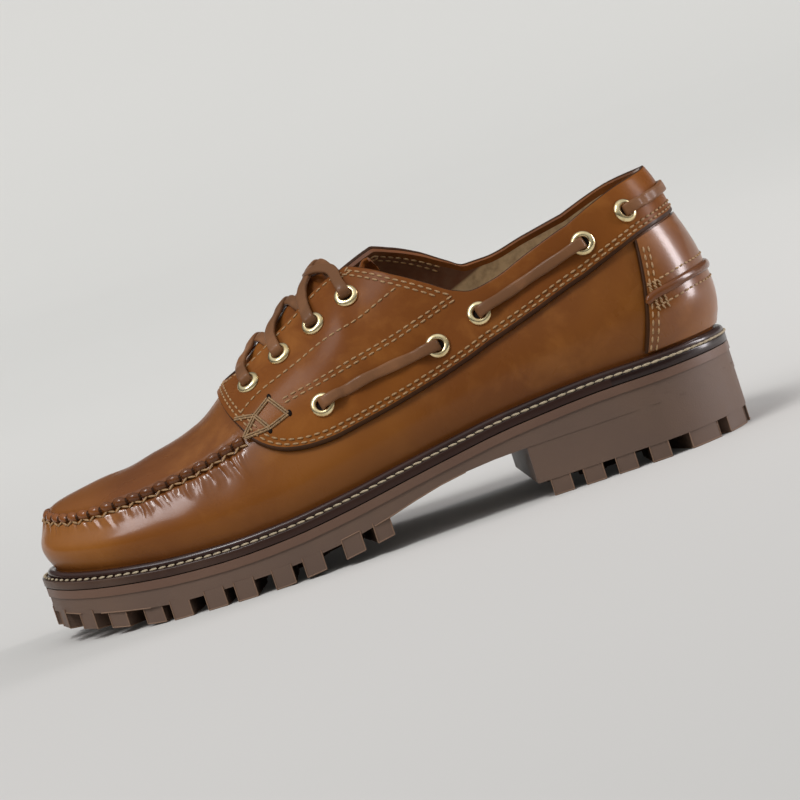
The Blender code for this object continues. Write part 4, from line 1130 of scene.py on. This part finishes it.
class MOCCASIN_OT_upper(bpy.types.Operator):
    """Build the vamp, plug and quarters as one shell with its lining"""
    bl_idname = "moccasin.upper"
    bl_label = "Upper"

    def execute(self, context):
        spans = [(0, 2, 0.05), (2, 7, 0.05), (7, 7.4, 0.02), (7.4, 10, 0.03), (10, TOE_ROW, 0.02)]
        around = columns(spans)[1:]
        top = rims(around)
        shape, outer = leather_sections(around, 0 * top, top, -WALL, WALL, 86, vamp_relief, back=26,
                                        soft=False)
        feet = shape[:, [-1, 0]].copy()
        feet[:, :, 2] = shape[:, [0], 2] - 2.3
        shape = np.concatenate([shape, feet], axis=1)
        size = shape.shape[1]

        def skip(i, j):
            """The leather has no rim where it is whole across the centre line."""
            return j == outer - 1 and top[i] >= 1 and top[(i + 1) % len(around)] >= 1

        points, faces, where = weave(shape, ring=True, skip=skip)
        parts = [2 if outer - 1 <= j <= outer else 1 if outer < j < size - 2 else 0 for j in where]
        shell = object_from("upper_leather", points, faces, ["upper", "lining", "lip"], parts, sharp=60)
        self.polish(shell.data)
        dress(shell, "leather", "upper")
        return {"FINISHED"}

    def polish(self, mesh):
        """Mark where the leather is rubbed bright, along the gathers, and where it is darker: at the plug's
        front, at the foot of the upper and on the lower front of the quarter, which is painted shade.
        """
        row = np.linspace(7.15, TOE_ROW, 260)
        around = np.concatenate([row, -row])
        seam = SKIN.at(around, seam_up(around))
        shine, shade = [], []
        for part in np.array_split(spots_of(mesh), 40):
            gaps = np.linalg.norm(part[:, None] - seam[None], axis=2)
            nearest = np.argmin(gaps, axis=1)
            gap = gaps.min(axis=1) * np.where(part[:, 2] < seam[nearest, 2], 1, -1)
            beside = np.abs(around[nearest])
            shine.append(ease(gap, 1, 3) * (1 - ease(gap, 8, 19)) * (1 - 0.5 * ease(beside, 10.4, 11.6)))
            foot = part[:, 2] - seat_height(part[:, 0])
            plug = 0.5 * ease(-gap, 0, 4) * ease(beside, 8, 10)
            # low darkens the lower front of the quarter: painted shade.
            low = 0.35 * (1 - ease(np.abs(part[:, 0] - 150), 30, 80)) * (1 - ease(foot, 8, 34))
            shade.append(np.maximum(np.maximum(plug, low), 0.6 * (1 - ease(foot, 0, 5))))
        mark(mesh, "polish", np.concatenate(shine))
        mark(mesh, "shade", np.concatenate(shade))


class MOCCASIN_OT_saddle(bpy.types.Operator):
    """Build the saddle that runs round the collar and carries the eyelets"""
    bl_idname = "moccasin.saddle"
    bl_label = "Saddle"

    def execute(self, context):
        around = columns([(0, 2, 0.05), (2, 6.9, 0.045), (6.9, 7.2, 0.02), (7.2, 7.38, 0.006)])
        low, top = lows(around), rims(around)
        low[[0, -1]] = 0.995
        shape, outer = leather_sections(around, low, top, GAP, OVERLAY, 16, self.relief)
        joined = np.abs(around) >= row_of(THROAT_FRONT) - 1e-6
        points, faces, where = weave(shape, ends=False,
                                     skip=lambda i, j: j == outer - 1 and joined[i] and joined[i + 1])
        # The lower cut edge and the rim take the dark edge look; at the lower edge the dark strips are made
        # wider than the cut as painted shadow.
        parts = [1 if j < 4 or outer - 3 <= j else 0 for j in where]
        dress(object_from("saddle_leather", points, faces, ["saddle", "edge"], parts, sharp=55),
              "leather", "saddle")
        return {"FINISHED"}

    def relief(self, around, up):
        """The leather sinks along its stitched rows and swells a little between them."""
        row = np.abs(around)
        above = (up - lows(row)) * rise(row, up)
        sunk = 0.2 * np.exp(-((above - 3.6) / 1.6) ** 2) * (1 - ease(row, 7.0, 7.15))
        return 0.12 * np.sin(row * 2.9 + 1) * np.sin(up * 10 + row) * ease(above, 6, 12) - sunk


class MOCCASIN_OT_heel(bpy.types.Operator):
    """Build the heel counter and the rib that crosses it"""
    bl_idname = "moccasin.heel"
    bl_label = "Heel Counter"

    def execute(self, context):
        shares = np.linspace(0.006, 0.994, 40)
        edge = [-1, -0.998, -0.99, -0.975]
        share = np.concatenate([edge, np.linspace(-0.95, 0.95, 80), -np.array(edge[::-1])])
        around = share[:, None] * counter_line(shares)[None]
        up = COUNTER_FOOT + shares[None] * (lows(around) - COUNTER_GAP)
        inward = np.minimum(np.minimum((1 - np.abs(share)) * 60, 8)[:, None],
                            np.minimum(shares, 1 - shares)[None] * 36)
        out = SADDLE_FACE - EDGE_DROP * rounded(np.clip(inward / 0.8, 0, 1)) + counter_puff(around, up)
        inner = SKIN.at(around[:, ::-1], up[:, ::-1], np.full(up.shape, GAP + 0.1))[:, ::4]
        shape = np.concatenate([SKIN.at(around, up, out), inner], axis=1)
        points, faces, _ = weave(shape)
        last = len(share) - 2
        strips = [min(k // shape.shape[1], last) for k in range(len(faces))]
        parts = [int(strip < 3 or strip > last - 3) for strip in strips]
        dress(object_from("counter_leather", points, faces, ["counter", "edge"], parts, sharp=55),
              "leather", "heel_counter")
        reach = RIB_LINE[-1][0]
        row = np.linspace(-reach, reach, 150)[:, None]
        up = smooth_table(RIB_LINE, np.abs(row))
        turn = np.linspace(0, np.pi, 12)[None]
        taper = np.clip(np.abs(row) / reach - 0.96, 0, 1) / 0.04
        end = np.sqrt(np.clip(1 - taper ** 2, 0.02, 1))
        across = up - np.cos(turn) * 1.9 * end / rise(row, up)
        out = 2 * GAP + OVERLAY + np.sin(turn) ** 0.8 * 1.6 * end
        rib = woven("heel_rib_leather", [SKIN.at(row + 0 * across, across, out)], "lip", 50)
        dress(rib, "leather", "heel_rib")
        return {"FINISHED"}


class MOCCASIN_OT_moc_seam(bpy.types.Operator):
    """Build the gathered lip of the moccasin seam"""
    bl_idname = "moccasin.moc_seam"
    bl_label = "Moccasin Seam"

    def execute(self, context):
        run = np.arange(1.0, SEAM_RUN[-1] + 0.01, BEAD / 14)
        row = np.interp(run, SEAM_RUN, SEAM_ROWS)
        around = np.concatenate([row, -row[-2::-1]])
        up = seam_up(around)
        turn = np.linspace(0, np.pi, 13)
        phase = seam_run(around)[:, None] + 0.1 * BEAD * np.cos(turn)[None] * np.sign(around + 1e-9)[:, None]
        swell = np.abs(np.sin(np.pi * phase / BEAD)) ** 0.5
        tall = 1.0 - 0.42 * ease(np.abs(around), 10.2, 11.6)[:, None]
        high = (GAP + 0.1 + 2.2 * swell) * tall
        half = 1.1 + 1.05 * swell
        across = up[:, None] - np.cos(turn)[None] * half / rise(around, up)[:, None]
        out = -0.6 + (high + 0.6) * np.sin(turn)[None] ** 0.75
        points, faces, _ = weave(SKIN.at(around[:, None] + 0 * across, across, out))
        # Faces down in the slits between the beads take the dark edge look: painted shade in the gaps.
        shaded_slit = swell[:-1, 6] < 0.5
        parts = [int(shaded_slit[min(k // 13, len(shaded_slit) - 1)]) for k in range(len(faces))]
        dress(object_from("seam_lip_leather", points, faces, ["lip", "edge"], parts, sharp=75),
              "leather", "moc_seam")
        return {"FINISHED"}


class MOCCASIN_OT_tongue(bpy.types.Operator):
    """Build the tongue inside the throat"""
    bl_idname = "moccasin.tongue"
    bl_label = "Tongue"

    def execute(self, context):
        stations = np.concatenate([np.linspace(214, 146, 36), np.linspace(144, 130, 28)])
        column, half, lift = np.array(TONGUE[::-1], float).T
        half = np.maximum(np.interp(stations, column, half), 12.5)
        lift = np.interp(stations, column, lift) - 11 * ease(-stations, -152, -136)
        hump = 3.2 * ease(stations, 147, 156) * (1 - ease(stations, 198, 208))
        share = np.concatenate([[-1, -0.99, -0.97], np.linspace(-0.93, 0.93, 26), [0.97, 0.99, 1]])
        edge = 0.6 * rounded(np.clip((1 - np.abs(share)) / 0.05, 0, 1))
        sections = []
        for station, wide, high, swell in zip(stations, half, lift, hump):
            around, up = np.array([across_throat(row_of(station), part * wide) for part in share]).T
            curl = 8.5 * ease(-station, -142, -131) * ease(share * wide, 2, 12)
            out = swell * (1 - ease(np.abs(share * wide), 7, 15)) + curl + high - WALL - GAP
            bottom = slice(None, None, -3)
            sections.append(np.concatenate([SKIN.at(around, up, out - edge),
                                            SKIN.at(around[bottom], up[bottom], out[bottom] - 2.0)]))
        dress(woven("tongue_leather", [np.array(sections)], "saddle", 50), "tongue", "tongue")
        return {"FINISHED"}


def outline(out, count):
    """Points (x, y) of both sides of the upper's foot from heel to toe, moved out by out, which
    may depend on the station."""
    moved = {}
    for side, line in FEATHER.items():
        along = unit(np.gradient(line, axis=0))
        normal = np.stack([-along[:, 1], along[:, 0]], axis=1) * side
        pick, at = np.linspace(0, len(line) - 1, count + 1), np.arange(len(line))
        spots = read_along(pick, at, line)
        reach = out(spots[:, [0]]) if callable(out) else out
        moved[side] = spots + read_along(pick, at, normal) * reach
    for end in (0, -1):
        moved[LATERAL][end] = moved[MEDIAL][end] = (moved[LATERAL][end] + moved[MEDIAL][end]) / 2
    return moved


def ring_of(out, up):
    """A closed ring of points round the foot of the upper."""
    plan = outline(out, 190)
    whole = np.concatenate([plan[LATERAL], plan[MEDIAL][-2:0:-1]])
    return np.column_stack([whole, seat_height(whole[:, 0]) + up])


def welt_width(station):
    return smooth_table(WELT_WIDTH, station)


class MOCCASIN_OT_insole(bpy.types.Operator):
    """Build the insole under the foot"""
    bl_idname = "moccasin.insole"
    bl_label = "Insole"

    def execute(self, context):
        plan = outline(-WALL - 2 * GAP, 90)
        share = np.linspace(0, 1, 15)
        cup = 0.84 * np.abs(2 * share - 1) ** 4
        sections = []
        for left, right in zip(plan[LATERAL][1:-1], plan[MEDIAL][1:-1]):
            line = left + (right - left) * share[:, None]
            seat = seat_height(line[:, 0])
            sections.append(np.concatenate([np.column_stack([line, seat + 0.8 + cup]),
                                            np.column_stack([line, seat - 2.0])[::-2]]))
        dress(woven("insole_leather", [np.array(sections)], "lining", 50), "lining", "insole")
        return {"FINISHED"}


class MOCCASIN_OT_welt(bpy.types.Operator):
    """Build the welt with its rib and ledge"""
    bl_idname = "moccasin.welt"
    bl_label = "Welt"

    def execute(self, context):
        side = [(-0.4, -7.0), (-0.05, -6.8), (0, -6.3), (0, -3.95), (-0.1, -3.6), (-0.45, -3.4)]
        rib = [(3.75, LEDGE_UP), (3.95, -2.3), (3.95, -1.6), (3.6, -0.9), (3.0, -0.35), (2.2, -0.05),
               (1.4, -0.1), (0.6, -0.5), (0.15, -1.2), (0.1, -2.6), (-5.5, -2.6)]
        rings = [ring_of(-5.5, -7.0)]
        rings += [ring_of(lambda station, out=out: welt_width(station) + out, up) for out, up in side]
        rings += [ring_of(out, up) for out, up in rib]
        points, faces, where = weave(np.stack(rings, axis=1), ring=True)
        station = rings[0][:, 0]
        parts = [int(2 <= j <= 4 and station[k // len(rings) % len(station)] > 48)
                 for k, j in enumerate(where)]
        welt = object_from("welt_leather", points, faces, ["welt", "welt_side"], parts, sharp=50)
        spots = spots_of(welt.data)
        upright = seat_height(spots[:, 0]) - spots[:, 2] > 3.1
        mark(welt.data, "shade", 0.9 * upright * (1 - ease(spots[:, 0], 190, 285)))
        dress(welt, "welt", "welt")
        return {"FINISHED"}


LUG_ANGLE = math.radians(38)  # edges that bend more than this are rounded off


class MOCCASIN_OT_outsole(bpy.types.Operator):
    """Round off the lugs of the rubber sole"""
    bl_idname = "moccasin.outsole"
    bl_label = "Outsole"

    def execute(self, context):
        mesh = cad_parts["outsole"].data.copy()
        mesh.materials.clear()
        for look in ("rubber", "midsole", "worn"):
            mesh.materials.append(LOOKS[look])
        body = bmesh.new()
        body.from_mesh(mesh)
        bmesh.ops.remove_doubles(body, verts=body.verts, dist=0.01 * MM)
        bmesh.ops.dissolve_limit(body, angle_limit=math.radians(0.4), verts=body.verts, edges=body.edges)
        body.to_mesh(mesh)
        dress(self.worn_edges(body), "rubber")
        body.free()
        sole = linked("outsole_rubber", mesh)
        mesh.shade_smooth()
        mesh.set_sharp_from_angle(angle=LUG_ANGLE)
        rounding = sole.modifiers.new("rounding", "BEVEL")
        rounding.width = 0.0006
        rounding.material = 2
        rounding.segments = 2
        rounding.limit_method = "ANGLE"
        rounding.angle_limit = LUG_ANGLE
        even = sole.modifiers.new("even", "WEIGHTED_NORMAL")
        even.mode = "FACE_AREA_WITH_ANGLE"
        bpy.context.view_layer.update()
        ready = sole.evaluated_get(context.evaluated_depsgraph_get())
        sole.data = bpy.data.meshes.new_from_object(ready)
        sole.modifiers.clear()
        self.paint(sole.data)
        dress(sole, "rubber", "outsole")
        return {"FINISHED"}

    def paint(self, mesh):
        """Give the strip under the welt its gloss, and keep worn edges to the lugs."""
        middles = np.array([face.center for face in mesh.polygons]) / MM + ORIGIN
        below = seat_height(middles[:, 0]) - 7.3 - middles[:, 2]
        slots = np.array([face.material_index for face in mesh.polygons])
        slots[(slots == 2) & (below < 6)] = 0
        slots[(below < 3.7) & (np.abs([face.normal.z for face in mesh.polygons]) < 0.8)] = 1
        mesh.polygons.foreach_set("material_index", slots.astype(np.int32))

    def worn_edges(self, body):
        """Pale rounded beads along the outer edges of the lugs."""
        beads = []
        for edge in body.edges:
            if len(edge.link_faces) != 2 or edge.calc_face_angle() < math.radians(40) or not edge.is_convex:
                continue
            ends = np.array([corner.co for corner in edge.verts]) / MM + ORIGIN
            limit = np.where(ends[:, 0] < 105, 11, seat_height(ends[:, 0]) - 13)
            flat = abs(ends[1, 2] - ends[0, 2]) < 1 and ends[0, 2] > 4
            if flat or (ends[:, 2] > limit).any() or np.linalg.norm(ends[1] - ends[0]) < 0.3:
                continue
            ends[:, 2] = np.maximum(ends[:, 2], 0.36)
            along = ends[1] - ends[0]
            upright = (1.0, 0.0, 0.0) if abs(along[2]) > 0.9 * np.linalg.norm(along) else (0.0, 0.0, 1.0)
            beads.append(tube(ends, 0.3, 6, [upright] * 2))
        return woven("worn_edges", beads, "worn", 80)


def eyelet_places():
    """Every eyelet: name, (around, up)."""
    return [(f"eyelet_{kind}_{name}_{number}", (side * row, up)) for name, side in SIDES.items()
            for kind, spots in (("front", FRONT_EYELETS), ("side", SIDE_EYELETS))
            for number, (row, up) in enumerate(spots, start=1)]


def spot_frame(around, up):
    """A point on the saddle, the normal there and the direction that climbs."""
    normal = SKIN.facing(around, up)
    climb = SKIN.at(around, up + 0.02) - SKIN.at(around, up - 0.02)
    return SKIN.at(around, up, SADDLE_FACE), normal, unit(climb - normal * climb.dot(normal))


class MOCCASIN_OT_eyelets(bpy.types.Operator):
    """Set a rolled brass eyelet at every place for one, with a dark disc of painted shade in its hole"""
    bl_idname = "moccasin.eyelets"
    bl_label = "Eyelets"

    def execute(self, context):
        names, spots = zip(*eyelet_places())
        frames = [spot_frame(*spot) for spot in spots]
        ring = [(2.45, -0.2), (2.4, 0.6), (2.55, 1.15), (2.95, 1.5), (3.5, 1.62), (4.1, 1.5), (4.7, 1.15),
                (5.15, 0.6), (5.25, 0.1), (5.0, -0.1)]
        brass = scatter_turned("eyelet_rings", "brass", frames, ring)
        brass.data.shade_smooth()
        dress(brass, "eyelets", *names)
        # Each eyelet's hole is a near black disc inside the ring: painted shade in place of a hole.
        shade_disc = [(0.001, 0.12), (0.001, 0.22), (2.5, 0.22), (2.5, 0.12)]
        dress(scatter_turned("eyelet_holes", "hole_shade", frames, shade_disc, 20), "eyelets")
        return {"FINISHED"}


LACE_CORNERS = [(-1, 0), (-0.97, -0.55), (-0.85, -0.9), (-0.5, -1), (0, -1.05), (0.5, -1), (0.85, -0.9),
                (0.97, -0.55), (1, 0), (0.97, 0.55), (0.85, 0.9), (0.5, 1), (0, 1.05), (-0.5, 1),
                (-0.85, 0.9), (-0.97, 0.55)]


def ribbon(path, facing, half):
    """Closed sections of a flat lace, its faces slightly crowned."""
    path, facing = np.array(path), np.array(facing)
    length = path_length(path)
    at = np.linspace(0, length[-1], int(length[-1] / 0.8))
    vary = 1 + 0.05 * np.sin(at * 0.37 + 1)
    wide = np.array([half * vary, np.full(len(at), LACE_HALF_THICKNESS)]).T
    return swept(natural_spline(path, len(at)), read_along(at, length, facing),
                 np.array(LACE_CORNERS)[None] * wide[:, None])


def lead(around, up, towards):
    """The lace coming out of an eyelet and bending over its rim: points and the way it faces."""
    point, normal, _ = spot_frame(around, up)
    ahead = towards - point
    ahead = unit(ahead - normal * ahead.dot(normal))
    path = [(0, 0.3), (0, 1.4), (0.5, 2.35), (2.0, 2.9), (5.4, 2.9), (7.6, 2.4)]
    turns = [0, 0, 0.5, 1, 1, 1]
    points = [point + ahead * along + normal * high for along, high in path]
    return points, [normal * turn - ahead * (1 - turn) for turn in turns]


def laced(spots, first, last=None, half=LACE_HALF_WIDTH + 0.2):
    """A lace from the eyelet first over spots (around, up, out), and down into the eyelet last."""
    around, up, out = np.array(spots, float).T
    points, facing = SKIN.at(around, up, out), SKIN.facing(around, up)
    start, start_facing = lead(*first, points[0])
    end, end_facing = lead(*last, points[-1]) if last else ([], [])
    return ribbon([*start, *points, *end[::-1]], [*start_facing, *facing, *end_facing[::-1]], half)


CROSSING_STEPS = [(-0.04, 14.5, 3.0), (0.06, 10.5, 3.0), (0.2, 6, 2.3), (0.36, 0, 1.8), (0.5, -6, 1.4),
                  (0.63, -12, 0.3), (0.74, -16.5, -1.7), (0.8, -19, -2.2)]  # share ahead, aside, out


def crossing(side, number):
    """One strand from its front eyelet over the throat, tucked in under the other edge. The
    lateral strand lies on top, and the medial one starts further ahead."""
    row, up = FRONT_EYELETS[number]
    following = FRONT_EYELETS[number + 1][0]
    skew, lift = (0.0, 1.7) if side == LATERAL else (0.22, 0.0)
    spots = []
    for share, aside, out in CROSSING_STEPS:
        share += skew * (1 - share)
        spots.append((*across_throat(row + (following - row) * share, side * aside),
                      out + lift * math.exp(-((aside + 3) / 5.5) ** 2)))
    return laced(spots, (side * row, up), half=LACE_HALF_WIDTH + 0.35)


class MOCCASIN_OT_laces(bpy.types.Operator):
    """Thread the rawhide laces through the eyelets"""
    bl_idname = "moccasin.laces"
    bl_label = "Laces"

    def make(self, name, shapes, node):
        dress(woven(name, shapes, "lace", 60), "laces", node)

    def execute(self, context):
        rest = 2 * GAP + OVERLAY + LACE_HALF_THICKNESS
        for number in range(3):
            self.make(f"front_strands_{number + 1}", [crossing(LATERAL, number), crossing(MEDIAL, number)],
                      f"front_lace_{number + 1}")
        row, up = FRONT_EYELETS[3]
        drift = 0.75 * (FRONT_EYELETS[2][0] - row)
        middle = [(*across_throat(row + drift * share, aside), out) for share, aside, out in
                  ((0.25, 15.5, 3.2), (0.62, 11, 3.6), (0.92, 6, 3.2), (1.05, 0, 2.6), (0.9, -7, 2.6),
                   (0.35, -15.5, 3.0))]
        self.make("front_strands_4", [laced(middle, (row, up), (-row, up))], "front_lace_4")
        for name, side in SIDES.items():
            for number, shares in enumerate((np.linspace(0, 1, 7)[1:-1], (0.4, 0.6)), start=1):
                ends = SIDE_EYELETS[2 * number - 2: 2 * number]
                first, last = (np.array(spot) * (side, 1) for spot in ends)
                middle = [(*(first + (last - first) * share), rest) for share in shares]
                self.make(f"side_strap_{name}_{number}", [laced(middle, first, tuple(last))],
                          f"side_lace_{name}_{number}")
        row, up = SIDE_EYELETS[4]
        middle = [(row * t, up + 0.01 * (1 - t * t), rest) for t in (0.7, 0.45, 0.22, 0, -0.22, -0.45, -0.7)]
        self.make("back_strap", [laced(middle, (row, up), (-row, up))], "back_lace")
        return {"FINISHED"}


class MOCCASIN_OT_machine_stitches(bpy.types.Operator):
    """Sew the rows of machine stitches on the saddle and the counter"""
    bl_idname = "moccasin.machine_stitches"
    bl_label = "Machine Stitches"

    def execute(self, context):
        pitch = sizes().stitch_pitch / MM
        out = SADDLE_FACE + 0.12
        lower, double = lower_line(), dense(ROW_DOUBLE)
        spots = []
        for side in (1, -1):
            rows = [(lower, 2.6), (lower, 4.6), (rim_line(3.28, 5.0, side), -2.4),
                    (rim_line(3.42, 5.0, side), -4.5), (rim_line(5.0, 7.19, side), -2.4),
                    (dense(ROW_SINGLE), 0), (double, 1.0), (double, -1.0)]
            for (row, up), distance in rows:
                line = (row * side, up)
                around, up = shifted(line, -distance * side) if distance else line
                keep = np.abs(up) < 0.985
                spots.append(stitched((around[keep], up[keep]), pitch, out))
            row, up = rim_line(3.3, 6.0, side)
            for distance in (2.6, 4.7):
                spots.append(stitched(shifted((row * side, up), distance * side), pitch, -WALL - 0.15))
            for row in (1.12, 1.19, 1.26):
                tack = (np.full(12, side * row), smooth_table(RIB_LINE, 1.3) + np.linspace(-0.05, 0.05, 12))
                spots.append(stitched(tack, 1.7, out + 0.3 + counter_puff(*tack), 0.5 * side))
            share = np.linspace(0.03, 0.97, 60)
            front = counter_line(share)
            line = (side * front, COUNTER_FOOT + share * (lows(front) - 0.03))
            for distance in (2.2, 4.6):
                row = shifted(line, -distance * side)
                spots.append(stitched(row, pitch, out + counter_puff(*row)))
        row = np.linspace(-1.3, 1.3, 160)
        for up_by in (-0.041, 0.041):
            line = (row, smooth_table(RIB_LINE, np.abs(row)) + up_by)
            spots.append(stitched(line, pitch, out + counter_puff(*line)))
        dress(scatter("machine_stitches", "thread", spots, Length=sizes().stitch, Thickness=sizes().thread),
              "leather")
        return {"FINISHED"}


BOX_CORNERS = {"top": (6.58, 0.523), "back": (6.36, 0.409), "low": (6.69, 0.398), "front": (6.85, 0.487),
               "seam": (7.1, 0.419), "edge": (7.16, 0.535)}
BOX_RUNS = [("top", "back"), ("back", "low"), ("low", "front"), ("front", "top"), ("low", "seam"),
            ("front", "seam"), ("front", "edge")]
BOX_HOLES = [(6.56, 0.529), (6.33, 0.408), (6.69, 0.388), (6.87, 0.49)]


class MOCCASIN_OT_hand_stitches(bpy.types.Operator):
    """Sew the moccasin seam by hand and draw the thread box at its end"""
    bl_idname = "moccasin.hand_stitches"
    bl_label = "Hand Stitches"

    def execute(self, context):
        spots = []
        row = np.interp((np.arange(2 * SEAM_BEADS) + 0.5) * BEAD / 2, SEAM_RUN, SEAM_ROWS)
        up = seam_up(row) - 2.6 / rise(row, seam_up(row))
        for side in (1, -1):
            facing = SKIN.facing(side * row, up)
            after, before = (SKIN.at(side * (row + step), seam_up(row + step)) for step in (0.02, -0.02))
            along = unit(after - before)
            climb = np.cross(facing, along) * side
            ahead = unit(along + climb * np.where(np.arange(len(row)) % 2, 0.75, -0.35)[:, None])
            spots.append((SKIN.at(side * row, up, np.full(len(row), 0.45)), ahead, facing))
        dress(scatter("hand_stitches", "thread", spots, Length=BEAD * MM * 0.6,
                      Thickness=sizes().hand_thread), "leather")
        self.box()
        return {"FINISHED"}

    def box(self):
        """The square of thread between four punched holes, just behind the seam's end. The holes are dark
        discs of painted shade.
        """
        threads, frames = [], []
        for side in (1, -1):
            for start, end in BOX_RUNS:
                around, up = dense([BOX_CORNERS[start], BOX_CORNERS[end]], 14)
                for aside in (-0.5, 0.5):
                    line = shifted((around * side, up), aside)
                    path = SKIN.at(*line, np.full(14, SADDLE_FACE + 0.25))
                    threads.append(tube(path, 0.46, 7, SKIN.facing(*line)))
            frames += [spot_frame(side * row, up) for row, up in BOX_HOLES]
        dress(woven("thread_box", threads, "box_thread", 60), "leather")
        hole_shade = [(0.001, 0.1), (0.001, 0.5), (0.75, 0.42), (0.95, 0.1)]
        dress(scatter_turned("punched_holes", "hole_shade", frames, hole_shade, 14, 1.6), "leather")


class MOCCASIN_OT_welt_stitches(bpy.types.Operator):
    """Sew the cream stitches on the welt's ledge"""
    bl_idname = "moccasin.welt_stitches"
    bl_label = "Welt Stitches"

    def execute(self, context):
        line = ring_of(lambda station: (welt_width(station) + RIB_REACH) / 2, LEDGE_UP)
        _, _, spots, ahead = spaced(np.concatenate([line, line[:1]]), sizes().welt_pitch / MM)
        facing = np.tile([0.0, 0.0, 1.0], (len(spots), 1))
        outwards = np.cross(ahead, facing) * 0.3
        spots = [(spots, unit(ahead + outwards), facing + outwards)]
        dress(scatter("welt_stitches", "welt_thread", spots, Length=sizes().welt_pitch * 1.02,
                      Thickness=sizes().welt_thread), "welt")
        return {"FINISHED"}


class MOCCASIN_PT_panel(bpy.types.Panel):
    """Lists the moccasin's settings and pieces"""
    bl_idname = "MOCCASIN_PT_panel"
    bl_label = "Camp Moccasin"
    bl_space_type = "VIEW_3D"
    bl_region_type = "UI"
    bl_category = "Moccasin"

    def draw(self, context):
        for settings in (context.scene.moccasin_colours, context.scene.moccasin_sizes):
            box = self.layout.box()
            for label in settings.__annotations__:
                box.prop(settings, label)
        for operator in OPERATORS:
            self.layout.operator(operator.bl_idname)


OPERATORS = (MOCCASIN_OT_stage, MOCCASIN_OT_upper, MOCCASIN_OT_saddle, MOCCASIN_OT_heel, MOCCASIN_OT_moc_seam,
             MOCCASIN_OT_tongue, MOCCASIN_OT_insole, MOCCASIN_OT_welt, MOCCASIN_OT_outsole,
             MOCCASIN_OT_eyelets, MOCCASIN_OT_laces, MOCCASIN_OT_machine_stitches,
             MOCCASIN_OT_hand_stitches, MOCCASIN_OT_welt_stitches)
CLASSES = (MoccasinColours, MoccasinSizes, *OPERATORS, MOCCASIN_PT_panel)


def register():
    for made in CLASSES:
        bpy.utils.register_class(made)
    bpy.types.Scene.moccasin_colours = bpy.props.PointerProperty(type=MoccasinColours)
    bpy.types.Scene.moccasin_sizes = bpy.props.PointerProperty(type=MoccasinSizes)


def unregister():
    del bpy.types.Scene.moccasin_sizes
    del bpy.types.Scene.moccasin_colours
    for made in reversed(CLASSES):
        bpy.utils.unregister_class(made)


def main():
    register()
    for operator in OPERATORS:
        group, name = operator.bl_idname.split(".")
        getattr(getattr(bpy.ops, group), name)()


if __name__ == "__main__":
    main()
